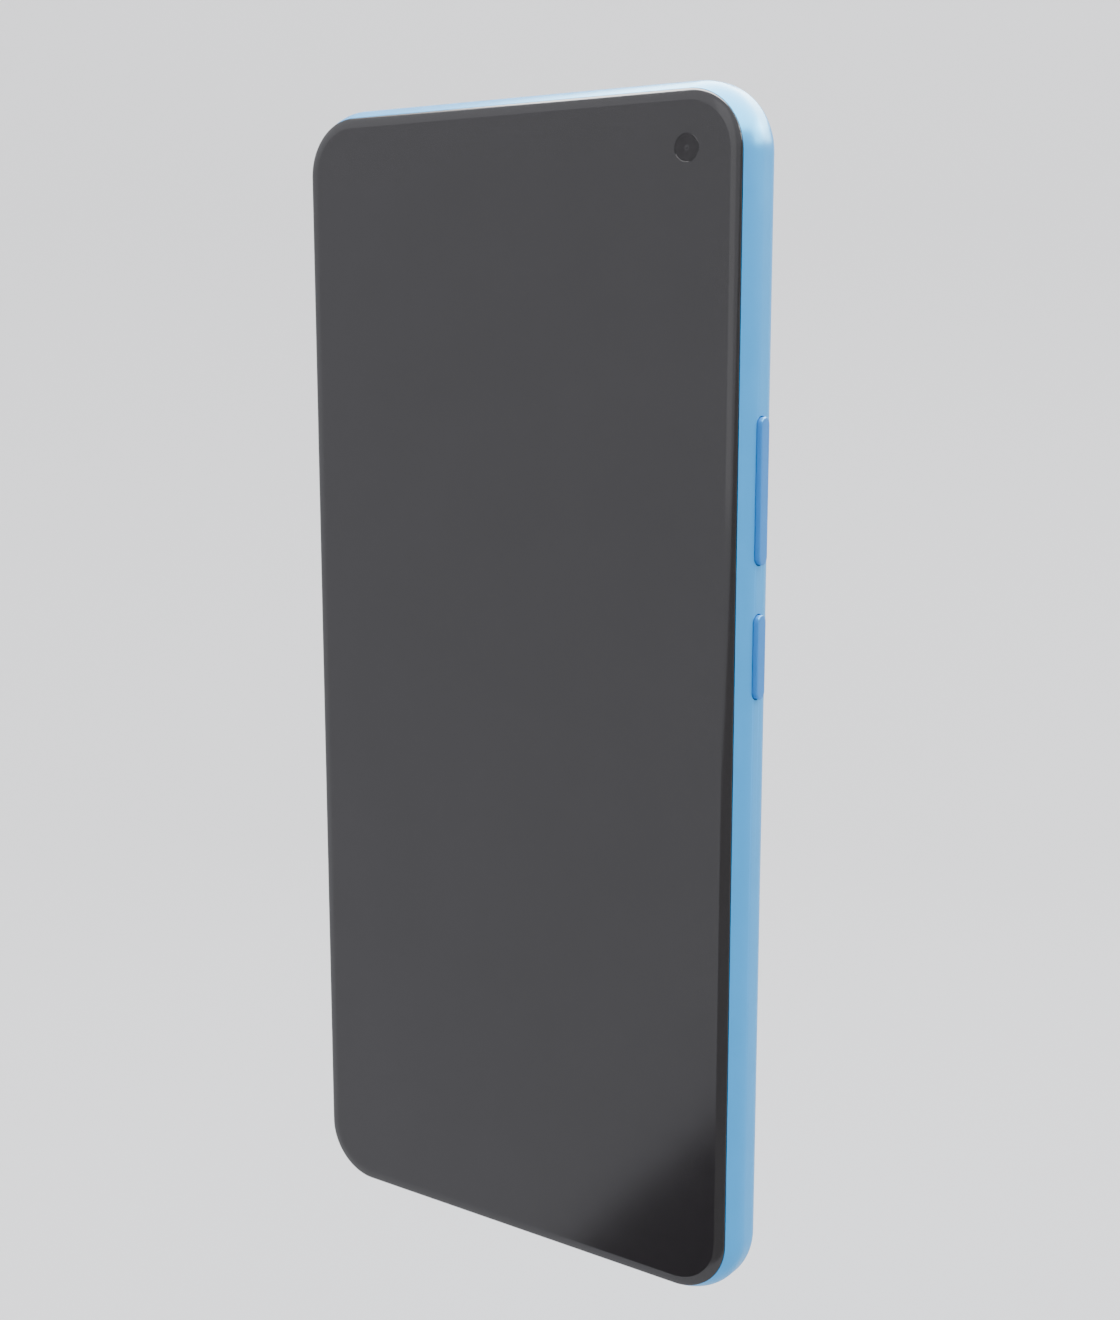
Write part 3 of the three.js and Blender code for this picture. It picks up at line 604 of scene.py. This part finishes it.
def build_island():
    """The bezel of the camera island and the glass pane set into it."""
    origin = island_face("camera_island_frame")
    size = extent("camera_island_frame")[1]
    layers = [(0.8 * MM, 0)] + quarter_round(0.5 * MM, 0.45 * MM, 10) + [(0, 0.8 * MM), (0, size.y)]
    frame_piece = make_object(
        "island_bezel", loft(bmesh.new(), origin, BACK, (size.x, size.z), ISLAND_CORNER, layers, 24))
    recess_at = Vector((origin.x, 9.1 * MM + 1 * MM, origin.z))
    recess_size = (size.x - 2.8 * MM, size.z - 2.8 * MM)
    recess = slot_cutter("recess", recess_at, BACK, recess_size, 4.8 * MM, 1 * MM)
    window_size = (size.x - 5.2 * MM, size.z - 5.2 * MM)
    window = slot_cutter("window", origin, BACK, window_size, 3.6 * MM, 3 * MM)
    soften(cut_away(frame_piece, [recess, window]), 0.07 * MM, 2, 40)
    finish_piece(frame_piece, "lens_ring", "camera_island_frame")

    origin = island_face("camera_island_glass")
    size = extent("camera_island_glass")[1]
    layers = [(0.5 * MM, 0)] + quarter_round(0.22 * MM, 0.2 * MM, 6) + [(0, size.y)]
    pane = make_object(
        "island_pane", loft(bmesh.new(), origin, BACK, (size.x, size.z), 4.65 * MM, layers, 24))
    bores = []
    for node, radius in (("main_lens_ring", 5.0), ("wide_lens_ring", 5.0),
                         ("macro_camera_module", 2.25), ("flash_lens", 2.25)):
        place = island_face(node)
        bores.append(hole_cutter(node + "_bore", place, BACK, radius * MM, 3 * MM))
    soften(cut_away(pane, bores), 0.05 * MM, 2, 40)
    finish_piece(pane, "lens_glass", "camera_island_glass", material=island_glass_surface())


def island_glass_surface():
    """Back-painted glass: deep blue-black paint with a fine metallic fleck under gloss."""
    surface = Surface("island_glass", (0.006, 0.013, 0.028), 0.16).mottle(0.15, 250)
    flecks = surface.spread(surface.noise(9000, 1.0), 0.0, 0.3, 0.62, 0.8)
    surface.link(surface.mix(flecks, surface.base, (0.06, 0.12, 0.2)), surface.shader.inputs["Base Color"])
    surface.put("Coat Weight", 0.25)
    surface.put("Coat Roughness", 0.03)
    return surface.vary_roughness(0.05, 1500).material


def clear_glass_surface():
    """Coated glass that hardly reflects, so that the lens under it reads black."""
    surface = Surface("clear_window", (0.96, 0.97, 1.0), 0.0)
    surface.put("Transmission Weight", 1.0)
    surface.put("IOR", 1.18)
    surface.mottle(0.01, 300)
    return surface.vary_roughness(0.015, 1200).material


def ring_profile(size_y):
    """Radius and depth of a turned lens ring, from its bore over its crown to its stem."""
    bore, crown = 4.1 * MM, 5.9 * MM
    profile = [(bore, size_y), (bore, 0.42 * MM)]
    for step in range(7):
        angle = step / 6 * math.pi / 2
        profile.append((bore + 0.32 * MM * (1 - math.cos(angle)), 0.42 * MM - 0.42 * MM * math.sin(angle)))
    for groove in range(4):
        edge, cut = (4.62 + 0.2 * groove) * MM, 0.03 * MM
        profile += [(edge, 0), (edge + cut, cut), (edge + 0.07 * MM, cut), (edge + 0.1 * MM, 0)]
    for step in range(7):
        angle = step / 6 * math.pi / 2
        profile.append((crown - 0.4 * MM * (1 - math.sin(angle)), 0.34 * MM * (1 - math.cos(angle))))
    profile += [(crown, 0.52 * MM), (crown - 0.04 * MM, 0.55 * MM)]
    profile += [(4.82 * MM, 0.55 * MM), (4.8 * MM, size_y)]
    return profile + [profile[0]]


def build_lens_station(label, barrel_node, barrel_top, clear):
    """The ring, window and baffle of a lens.

    Returns the top, nose outline and length of its barrel.
    """
    ring_node, window_node = label + "_lens_ring", label + "_lens_window"
    origin = island_face(ring_node)
    ring = make_object(label + "_turned_ring", spin(
        bmesh.new(), origin, BACK, ring_profile(extent(ring_node)[1].y), 96))
    finish_piece(soften(ring, 0, angle=30), "lens_ring", ring_node)

    origin = island_face(window_node)
    thickness = extent(window_node)[1].y
    pane = [(0, 0), (3.75 * MM, 0), (3.9 * MM, 0.04 * MM), (3.95 * MM, 0.12 * MM),
            (3.95 * MM, thickness), (0, thickness)]
    window = make_object(label + "_clear_window", spin(bmesh.new(), origin, BACK, pane, 96))
    finish_piece(soften(window, 0, angle=30), "lens_glass", window_node, material=clear)

    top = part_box(window_node)[0][1] - 0.04 * MM
    origin = Vector((origin.x, top, origin.z))
    steps = [(4.05, 0.27), (4.05, 0), (3.75, 0), (3.75, 0.07), (3.45, 0.07), (3.45, 0.14),
             (3.15, 0.14), (3.15, 0.2), (2.9, 0.2), (2.9, 0.27), (4.05, 0.27)]
    baffle = make_object(label + "_lens_baffle", spin(
        bmesh.new(), origin, BACK, [(radius * MM, depth * MM) for radius, depth in steps], 96))
    finish_piece(soften(baffle, 0, angle=30), "black_plastic", material=LENS_BLACK)

    centre = extent(barrel_node)[0]
    origin = Vector((centre.x, barrel_top, centre.z))
    length = barrel_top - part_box(barrel_node)[0][1]
    nose = [(0, 0.6), (2.15, 0.52), (2.2, 0.3), (2.34, 0.3), (2.34, 0.12), (2.48, 0.12), (2.48, 0),
            (2.95, 0), (3.1, 0.06), (3.2, 0.2)]
    outline = [(radius * MM, depth * MM) for radius, depth in nose]
    return origin, outline, length


def front_lens(name, place, radius, rise, tint, body):
    """The outermost lens of a barrel, a coated dome."""
    profile = dome(radius, rise) + [(radius, rise + 0.1 * MM), (0, rise + 0.1 * MM)]
    piece = make_object(name, spin(bmesh.new(), place, BACK, profile, 64))
    coating = lens_surface(name, tint)
    return finish_piece(soften(piece, 0, angle=50), "lens_glass", body=body, material=coating)


def build_rear_cameras():
    clear = clear_glass_surface()
    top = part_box("main_camera_barrel")[1][1]
    origin, outline, length = build_lens_station("main", "main_camera_barrel", top, clear)
    outline += [(3.3 * MM, 0.3 * MM), (3.3 * MM, length), (0, length)]
    barrel = make_object("main_lens_barrel", spin(bmesh.new(), origin, BACK, outline, 64))
    finish_piece(soften(barrel, 0, angle=30), "black_plastic", "main_camera_barrel", body="focus_barrel",
                 material=LENS_BLACK)
    lens_at = origin - Vector((0, 0.14 * MM, 0))
    front_lens("main_front_lens", lens_at, 2.1 * MM, 0.34 * MM, (0.62, 0.55, 1.0), "focus_barrel")

    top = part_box("wide_camera_module")[1][1]
    origin, outline, length = build_lens_station("wide", "wide_camera_module", top, clear)
    outline += [(3.2 * MM, 1.6 * MM), (0, 1.6 * MM)]
    nose = make_object("wide_lens_nose", spin(bmesh.new(), origin, BACK, outline, 64))
    centre, size = extent("wide_camera_module")
    base = make_object("wide_base", loft(
        bmesh.new(), Vector((centre.x, origin.y - 1.55 * MM, centre.z)), BACK, (size.x, size.z), 0.5 * MM,
        [(0.15 * MM, 0), (0, 0.15 * MM), (0, length - 1.55 * MM)], 4))
    nose = soften(unite(nose, base), 0, angle=30)
    finish_piece(nose, "black_plastic", "wide_camera_module", material=LENS_BLACK)
    lens_at = origin - Vector((0, 0.1 * MM, 0))
    front_lens("wide_front_lens", lens_at, 2.1 * MM, 0.38 * MM, (0.5, 0.85, 0.8), BODY)


def build_macro_and_flash():
    origin = island_face("macro_camera_module")
    centre, size = extent("macro_camera_module")
    profile = [(0, 0.62), (0.95, 0.55), (0.98, 0.36), (1.2, 0.36), (1.2, 0.2), (1.42, 0.2), (1.42, 0.05),
               (1.5, 0), (1.85, 0), (1.98, 0.05), (2.05, 0.16), (2.05, 2.6), (0, 2.6)]
    eye = make_object("macro_eye", spin(
        bmesh.new(), origin, BACK, [(radius * MM, depth * MM) for radius, depth in profile], 64))
    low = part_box("macro_camera_module")[0]
    base = make_object("macro_base", loft(
        bmesh.new(), Vector((centre.x, origin.y - 2.55 * MM, centre.z)), BACK, (size.x, size.z), 0.4 * MM,
        [(0.12 * MM, 0), (0, 0.12 * MM), (0, origin.y - 2.55 * MM - low[1])], 4))
    finish_piece(soften(unite(eye, base), 0, angle=30), "black_plastic", "macro_camera_module",
                 material=LENS_BLACK)
    lens_at = origin - Vector((0, 0.3 * MM, 0))
    front_lens("macro_front_lens", lens_at, 0.9 * MM, 0.2 * MM, (1.0, 0.7, 0.5), BODY)

    origin = island_face("flash_lens")
    length = extent("flash_lens")[1].y
    profile = [(0, 0.05 * MM)]
    for ring in range(7):
        edge = (0.22 + 0.22 * ring) * MM
        profile += [(edge, 0.02 * MM), (edge + 0.02 * MM, 0.09 * MM), (edge + 0.2 * MM, 0.03 * MM)]
    profile += [(1.86 * MM, 0), (1.98 * MM, 0.02 * MM), (2.05 * MM, 0.1 * MM)]
    profile += [(2.05 * MM, length), (0, length)]
    flash = make_object("flash_fresnel", spin(bmesh.new(), origin, BACK, profile, 64))
    finish_piece(soften(flash, 0, angle=15), "amber_optic", "flash_lens")


# ---------------------------------------------------------------- SIM drawer and ports

def build_tray():
    """A thin drawer: a face that follows the side wall, a neck, and a leaf with card windows."""
    box_low, box_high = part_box("sim_tray")
    centre, size = extent("sim_tray")
    origin = Vector((box_low[0], PORT_Y, centre.z))
    crown = [(0.4 * MM, 0)] + quarter_round(0.14 * MM, 0.12 * MM, 5, 0.1) + [(0, 1.0 * MM)]
    tray = make_object("tray_face", loft(
        bmesh.new(), origin, LEFT, (1.6 * MM, size.z), 0.79 * MM, crown, 12))
    neck = make_object("neck", loft(
        bmesh.new(), origin, LEFT, (1.0 * MM, size.z - 1.4 * MM), 0.4 * MM,
        [(0, 0.8 * MM), (0, 2.2 * MM)], 8))
    leaf_low = Vector((box_low[0] + 1.85 * MM, 4.75 * MM, 47.2 * MM))
    leaf_high = Vector((box_high[0], 5.45 * MM, 63.2 * MM))
    leaf = make_object("leaf", block(bmesh.new(), leaf_low, leaf_high))
    cutters = []
    for start in (-33.6, -25.2):
        for rim, depth in ((0.0, (5.1, 6.0)), (1.1, (4.0, 6.0))):
            low = ((start + rim) * MM, depth[0] * MM, (48.8 + rim) * MM)
            high = ((start + 7 - rim) * MM, depth[1] * MM, (61.6 - rim) * MM)
            cutters.append(make_object("card_window", block(bmesh.new(), low, high)))
    pin_at = Vector((box_low[0], PORT_Y, 45.3 * MM))
    cutters.append(hole_cutter("pin_hole", pin_at, LEFT, 0.5 * MM, 3 * MM))
    soften(cut_away(unite(tray, neck, leaf), cutters), 0.05 * MM, 2, 40)
    tray.name = "sim_drawer_leaf"
    finish_piece(tray, "key_shell", "sim_tray", body="sim_drawer")


def build_socket():
    """The plug socket in the bottom edge: its shell, tongue and two rows of contacts."""
    centre, size = extent("usb_c_shell")
    mouth = Vector((centre.x, centre.y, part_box("usb_c_shell")[0][2]))
    layers = quarter_round(0.1 * MM, 0.1 * MM, 4) + [(0, size.z)]
    shell = make_object("socket_shell", loft(
        bmesh.new(), mouth, DOWN, (size.x, size.y), size.y / 2.001, layers, 20))
    opening = (size.x - 0.6 * MM, size.y - 0.6 * MM)
    throat = slot_cutter("throat", mouth, DOWN, opening, 1.299 * MM, 6.6 * MM)
    soften(cut_away(shell, [throat]), 0.04 * MM, 2, 40)
    finish_piece(shell, "steel", "usb_c_shell")

    centre, size = extent("usb_c_tongue")
    tip = Vector((centre.x, centre.y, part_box("usb_c_tongue")[0][2]))
    tongue = make_object("socket_tongue", loft(
        bmesh.new(), tip, DOWN, (size.x, size.y), 0.16 * MM,
        quarter_round(0.12 * MM, 0.2 * MM, 5) + [(0, size.z)], 6))
    finish_piece(soften(tongue, 0, angle=40), "black_plastic", "usb_c_tongue")

    pads = bmesh.new()
    for side in (-1, 1):
        for index in range(12):
            x = (index - 5.5) * 0.5 * MM
            face = centre.y + side * size.y / 2
            low = (x - 0.13 * MM, min(face, face + side * 0.03 * MM), tip.z + 0.5 * MM)
            high = (x + 0.13 * MM, max(face, face + side * 0.03 * MM), tip.z + 3.4 * MM)
            block(pads, low, high)
    contacts = make_object("socket_contacts", pads)
    finish_piece(soften(contacts, 0.01 * MM, 1), "steel", material=GOLD)


# ---------------------------------------------------------------- inside the body

def build_screw(node):
    """A pan head with a cross recess on a ridged shank."""
    centre, size = extent(node)
    origin = Vector((centre.x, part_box(node)[1][1], centre.z))
    seat, pitch = 0.36 * MM, 0.3 * MM
    profile = dome(1.2 * MM, 0.12 * MM, 5) + [(1.2 * MM, seat), (0.6 * MM, seat)]
    for turn in range(int((size.y - seat) / pitch) - 1):
        crest = seat + (turn + 0.8) * pitch
        profile += [(0.5 * MM, crest - pitch / 2), (0.6 * MM, crest)]
    profile += [(0.4 * MM, size.y), (0, size.y)]
    screw = make_object(node + "_threaded", spin(bmesh.new(), origin, BACK, profile, 40))
    arms = [slot_cutter("arm", origin, BACK, arm, 0.12 * MM, 0.22 * MM)
            for arm in ((1.3 * MM, 0.28 * MM), (0.28 * MM, 1.3 * MM))]
    finish_piece(soften(cut_away(screw, arms), 0, angle=30), "steel", node)


def build_battery():
    """A foil pouch with crimped sides and a taped terrace along its top end."""
    low, high = (Vector(corner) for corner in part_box("battery_pack"))
    size = high - low
    terrace, crimp = 4 * MM, 0.3 * MM
    origin = Vector(((low.x + high.x) / 2, high.y, (low.z + high.z - terrace) / 2))
    edge = quarter_round(0.9 * MM, 0.8 * MM, 7)
    layers = edge + [(inset, size.y - depth) for inset, depth in reversed(edge)]
    pouch = make_object("battery_pouch", loft(
        bmesh.new(), origin, BACK, (size.x - 2 * crimp, size.z - terrace), 1.6 * MM, layers, 10))
    finish_piece(soften(pouch, 0, angle=40), "pouch", "battery_pack")

    seams = bmesh.new()
    for direction, side in ((RIGHT, high.x), (LEFT, low.x)):
        at = Vector((side, (low.y + high.y) / 2, origin.z))
        loft(seams, at, direction, (size.y - 1.2 * MM, size.z - terrace - 6 * MM), 0.3 * MM,
             quarter_round(0.1 * MM, 0.1 * MM, 3) + [(0, 2 * crimp)], 4)
    finish_piece(soften(make_object("battery_side_seams", seams), 0, angle=40), "pouch")

    top = Vector((origin.x, high.y - 0.5 * MM, high.z - terrace / 2 - 0.5 * MM))
    step = make_object("battery_terrace", loft(
        bmesh.new(), top, BACK, (size.x - 4 * MM, terrace + 1 * MM), 0.5 * MM,
        quarter_round(0.3 * MM, 0.3 * MM, 4) + [(0, size.y - 1 * MM)], 6))
    finish_piece(soften(step, 0, angle=40), "black_plastic")
    tape = make_object("battery_tape", loft(
        bmesh.new(), top + Vector((0, 0.04 * MM, 0)), BACK, (size.x - 14 * MM, terrace), 0.8 * MM,
        [(0.05 * MM, 0), (0, 0.03 * MM), (0, 0.12 * MM)], 6))
    finish_piece(soften(tape, 0, angle=40), "flex")


def build_shield(node):
    """A drawn can: a raised panel, rounded shoulders, an open underside and rows of vents."""
    centre, size = extent(node)
    origin = Vector((centre.x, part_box(node)[1][1], centre.z))
    panel = [(1.5 * MM, 0), (1.3 * MM, 0.02 * MM), (1.15 * MM, 0.1 * MM)]
    shoulder = [(inset, depth + 0.12 * MM) for inset, depth in quarter_round(0.3 * MM, 0.3 * MM, 5)]
    can = make_object(node + "_can", loft(
        bmesh.new(), origin, BACK, (size.x, size.z), 0.6 * MM, panel + shoulder + [(0, size.y)], 8))
    inner = (size.x - 0.6 * MM, size.z - 0.6 * MM)
    hollow = loft(bmesh.new(), origin, BACK, inner, 0.4 * MM, [(0, 0.32 * MM), (0, size.y + 1 * MM)], 6)
    vents = bmesh.new()
    for column in range(7):
        for row in (-1, 1):
            place = origin + Vector(((column - 3) * 2.2 * MM, 0, row * size.z * 0.22))
            spin(vents, place, BACK, plug(0.35 * MM, -1 * MM, 0.6 * MM), 20)
    cut_away(can, [make_object("hollow", hollow), make_object("vents", vents)])
    finish_piece(soften(can, 0, angle=35), "steel", node)


def build_board_parts():
    """Capacitors with plated ends and moulded chips soldered to the back faces of both boards."""
    bodies, ends, chips = bmesh.new(), bmesh.new(), bmesh.new()
    fields = (("main_board", -27, 66.4, 7, 5), ("main_board", 12.6, 48.4, 3, 6),
              ("main_board", 20, 40.2, 4, 4), ("sub_board", -16.6, -72, 6, 5))
    for board, left, bottom, columns, rows in fields:
        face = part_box(board)[1][1]
        for column in range(columns):
            for row in range(rows):
                x, z = (left + 1.9 * column) * MM, (bottom + 1.3 * row) * MM
                block(bodies, (x + 0.2 * MM, face, z), (x + 0.9 * MM, face + 0.5 * MM, z + 0.55 * MM))
                for start in (0, 0.85):
                    block(ends, (x + start * MM, face, z - 0.02 * MM),
                          (x + (start + 0.25) * MM, face + 0.52 * MM, z + 0.57 * MM))
    places = (("main_board", -13, 69, 3.4, 5), ("main_board", 15.2, 45.6, 4.6, 3.4),
              ("sub_board", -11, -62.5, 6, 4), ("sub_board", 20, -55.6, 5, 2.6))
    for board, x, z, width, height in places:
        origin = Vector((x * MM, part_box(board)[1][1] + 0.8 * MM, z * MM))
        loft(chips, origin, BACK, (width * MM, height * MM), 0.1 * MM,
             quarter_round(0.08 * MM, 0.08 * MM, 2) + [(0, 0.8 * MM)], 3)
    finish_piece(soften(make_object("board_capacitors", bodies), 0.04 * MM, 1), "board", material=CERAMIC)
    finish_piece(soften(make_object("board_capacitor_ends", ends), 0.03 * MM, 1), "steel")
    finish_piece(soften(make_object("board_chips", chips), 0, angle=40), "black_plastic")


def build_connectors():
    """Press-on connectors over the ends of the flexes, each a frame round a row of contacts."""
    shells, contacts = bmesh.new(), bmesh.new()
    for x, z in ((-18, 39.8), (3, 39.8), (3, -55.4)):
        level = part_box("main_board" if z > 0 else "sub_board")[1][1] + 0.42 * MM
        at = Vector((x * MM, level + 0.6 * MM, z * MM))
        loft(shells, at, BACK, (7.4 * MM, 2.2 * MM), 0.25 * MM,
             [(0.05 * MM, 0), (0, 0.05 * MM), (0, 0.6 * MM), (0.45 * MM, 0.6 * MM), (0.45 * MM, 0.05 * MM),
              (0.4 * MM, 0)], 4, hollow=True)
        for index in range(14):
            left = at.x + (index - 7) * 0.44 * MM
            block(contacts, (left + 0.1 * MM, level, at.z - 0.62 * MM),
                  (left + 0.32 * MM, level + 0.5 * MM, at.z + 0.62 * MM))
    frames = make_object("flex_connector_shells", shells)
    finish_piece(soften(frames, 0, angle=40), "black_plastic")
    pins = make_object("flex_connector_contacts", contacts)
    finish_piece(soften(pins, 0.03 * MM, 1), "steel", material=GOLD)


def build_antenna_coil():
    """Copper turns laid on the antenna film."""
    centre, size = extent("nfc_antenna")
    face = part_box("nfc_antenna")[1][1]
    width, thickness = 0.4 * MM, 0.03 * MM
    origin = Vector((centre.x, face + thickness, centre.z))
    turns = bmesh.new()
    for turn in range(5):
        inset = (0.45 + 0.72 * turn) * MM
        section = [(inset, 0), (inset + width, 0), (inset + width, thickness), (inset, thickness)]
        loft(turns, origin, BACK, (size.x, size.z), 3 * MM, section, 10, hollow=True)
    finish_piece(soften(make_object("antenna_turns", turns), 0, angle=40), "flex", material=COPPER)


def weave_wire(bm, start, along, across, crossings, pitch, phase):
    """One round wire that passes over and under the wires it crosses."""
    radius, sides = 0.16 * pitch, 6
    rings = []
    for step in range(2 * crossings + 1):
        rise = 0.9 * radius * math.sin(math.pi * (step / 2 + phase))
        at = start + along * (step * pitch / 2) + Vector((0, 0, rise))
        turns = [2 * math.pi * side / sides for side in range(sides)]
        rings.append([bm.verts.new(
            at + across * radius * math.cos(a) + Vector((0, 0, radius * math.sin(a)))) for a in turns])
    for ring, following in zip(rings, rings[1:]):
        for k in range(sides):
            after = (k + 1) % sides
            bm.faces.new((ring[k], ring[after], following[after], following[k]))
    bm.faces.new(rings[0])
    bm.faces.new(list(reversed(rings[-1])))


def build_screen_mesh(name, node):
    """A woven wire cloth in a thin frame."""
    centre, size = extent(node)
    pitch = 0.3 * MM
    columns, rows = int(size.x / pitch) - 1, max(int(size.y / pitch) - 1, 2)
    corner = centre - Vector((columns * pitch / 2, rows * pitch / 2, 0))
    bm = bmesh.new()
    side_x, side_y = Vector((1, 0, 0)), Vector((0, 1, 0))
    for row in range(rows):
        start = corner + side_y * ((row + 0.5) * pitch)
        weave_wire(bm, start, side_x, side_y, columns, pitch, 0.5 + row)
    for column in range(columns):
        start = corner + side_x * ((column + 0.5) * pitch)
        weave_wire(bm, start, side_y, side_x, rows, pitch, 1.5 + column)
    face = Vector((centre.x, centre.y, centre.z - size.z / 2))
    rim = 0.25 * MM
    section = [(0, 0), (rim, 0), (rim, size.z), (0, size.z)]
    loft(bm, face, DOWN, (size.x, size.y), 0.2 * MM, section, 4, hollow=True)
    cloth = make_object(name, bm)
    finish_piece(soften(cloth, 0, angle=50), "fine_mesh", node)


EDGE_WIDTHS = {
    "board": 0.04, "flex": 0.02, "display": 0.05, "steel": 0.06, "seal_rubber": 0.08,
    "black_plastic": 0.1, "alloy": 0.1,
}


def dress_cad_nodes():
    """Finishes the CAD solids that stay: their slot's material and broken edges."""
    slot_of = {entry["node"]: entry["material_slot"] for entry in frame["record"]["subparts"]}
    for name, node in frame["nodes"].items():
        if node.hide_render:
            continue
        node.data.materials.clear()
        node.data.materials.append(FINISHES[slot_of[name]])
        soften(node, EDGE_WIDTHS.get(slot_of[name], 0.05) * MM)


# ---------------------------------------------------------------- stage, light and camera

def stage_surface(name, colour, glow):
    """Matt paper that is also lit from behind, as in a light tent."""
    surface = Surface(name, colour, 0.8).mottle(0.01, 6).vary_roughness(0.05, 20)
    surface.put("Emission Color", (1.0, 1.0, 1.0, 1.0))
    surface.put("Emission Strength", glow)
    surface.put("Specular IOR Level", 0.0)
    return surface.material


def build_stage():
    """A pale floor that sweeps up into a round wall."""
    floor_z = cad_low.z - 60 * MM
    flat, sweep, rise = 0.45, 0.25, 0.7
    profile = [(0, 0)] + [(flat * k / 6, 0) for k in range(1, 7)]
    for step in range(1, 17):
        angle = step / 16 * math.pi / 2
        profile.append((flat + sweep * math.sin(angle), sweep * (1 - math.cos(angle))))
    profile.append((flat + sweep, rise))
    bm = bmesh.new()
    spin(bm, Vector((0, 0, floor_z)), DOWN, profile, 96)
    floor = make_object("studio_floor", bm)
    floor.data.shade_smooth()
    floor.data.materials.append(stage_surface("studio_paper", (0.43, 0.43, 0.44), 0.42))
    floor.visible_shadow = False
    floor.visible_glossy = False


CARD_Y = -0.3


def build_card(name, corners, glow):
    """A flat card in front of the phone, seen only as a reflection in the glass; corners are (x, z)."""
    bm = bmesh.new()
    bm.faces.new([bm.verts.new((x, CARD_Y, z)) for x, z in corners])
    card = make_object(name, bm)
    surface = Surface(name, (0.0, 0.0, 0.0), 1.0)
    surface.put("Specular IOR Level", 0.0)
    surface.put("Emission Color", (1.0, 1.0, 1.0, 1.0))
    surface.put("Emission Strength", glow)
    card.data.materials.append(surface.material)
    for kind in ("camera", "diffuse", "transmission", "shadow", "volume_scatter"):
        setattr(card, "visible_" + kind, False)


def build_cards():
    """Two dark cards low in front: their slanting upper edge ends the reflection in the glass."""
    low, slope = -0.31, 1.05
    left, split, right = -0.236, -0.04, 0.3
    split_top, right_top = low + slope * (split - left), low + slope * (right - left)
    build_card("black_card", [(split, split_top), (left, low), (split, low)], 0.03)
    build_card("grey_card", [(right, right_top), (split, split_top), (split, low), (right, low)], 0.3)


def area_light(name, place, target, size, power):
    data = bpy.data.lights.new(name, "AREA")
    data.shape = "RECTANGLE"
    data.size, data.size_y = size
    data.energy = power
    light = bpy.data.objects.new(name, data)
    light.location = place
    light.rotation_mode = "QUATERNION"
    light.rotation_quaternion = (Vector(target) - Vector(place)).to_track_quat("-Z", "Y")
    light.visible_camera = False
    bpy.context.scene.collection.objects.link(light)
    return light


def build_world():
    """Soft studio air, brighter overhead and behind the phone than near the floor."""
    world = bpy.data.worlds.new("studio")
    bpy.context.scene.world = world
    world.use_nodes = True
    nodes, links = world.node_tree.nodes, world.node_tree.links
    background = nodes["Background"]
    background.inputs["Color"].default_value = (0.93, 0.95, 1.0, 1.0)
    coords = nodes.new("ShaderNodeTexCoord")
    axes = nodes.new("ShaderNodeSeparateXYZ")
    links.new(coords.outputs["Generated"], axes.inputs[0])
    total = nodes.new("ShaderNodeMath")
    total.operation = "ADD"
    ramps = (("Z", 0.1, 0.4, 0.75, 1.05), ("Y", 0.2, 0.9, 0.0, 0.5))
    for index, (axis, start, stop, low, high) in enumerate(ramps):
        ramp = nodes.new("ShaderNodeMapRange")
        values = {"From Min": start, "From Max": stop, "To Min": low, "To Max": high}
        for socket, value in values.items():
            ramp.inputs[socket].default_value = value
        links.new(axes.outputs[axis], ramp.inputs["Value"])
        links.new(ramp.outputs["Result"], total.inputs[index])
    links.new(total.outputs[0], background.inputs["Strength"])


def build_lights():
    area_light("overhead_softbox", (0.12, 0.16, 0.55), (0.12, 0.16, 0), (1.15, 0.92), 14)
    glow = area_light("overhead_glow", (0.2, 0.42, 0.54), (0.2, 0.42, 0), (1.16, 1.45), 80)
    glow.visible_diffuse = False
    area_light("front_glow", (-0.05, -0.5, 0.21), (-0.05, 0, 0.21), (0.16, 0.46), 0.08)
    side = area_light("side_glow", (0.755, 0.656, 0.52), (0, 0, 0.52), (1.0, 0.38), 18)
    side.visible_diffuse = False
    fill = area_light("fill_light", (-0.45, -0.55, 0.35), (0, 0, 0), (0.6, 0.6), 4)
    fill.visible_glossy = False


def build_camera():
    data = bpy.data.cameras.new("camera")
    data.lens = 50
    data.sensor_width = 36
    data.clip_start = 0.01
    camera = bpy.data.objects.new("camera", data)
    yaw, pitch = math.radians(35.49), math.radians(10.02)
    level = math.cos(pitch)
    forward = Vector((-math.sin(yaw) * level, math.cos(yaw) * level, -math.sin(pitch)))
    camera.location = (151.9 * MM, -201.0 * MM, 49.7 * MM)
    camera.rotation_mode = "QUATERNION"
    camera.rotation_quaternion = forward.to_track_quat("-Z", "Y")
    bpy.context.scene.collection.objects.link(camera)
    bpy.context.scene.camera = camera


build_camera()
build_stage()
build_cards()
build_world()
build_lights()
build_glass()
build_front_eye()
build_shell()
build_key("volume_key_cap", "volume_rocker", "volume_key")
build_key("power_key_cap", "power_button", "power_key")
build_island()
build_rear_cameras()
build_macro_and_flash()
build_tray()
build_socket()

for index in range(1, 7):
    build_screw(f"screw_{index}")
build_battery()
build_shield("soc_shield")
build_shield("rf_shield")
build_board_parts()
build_connectors()
build_antenna_coil()
build_screen_mesh("speaker_cloth", "speaker_mesh")
build_screen_mesh("earpiece_cloth", "earpiece_mesh")
dress_cad_nodes()
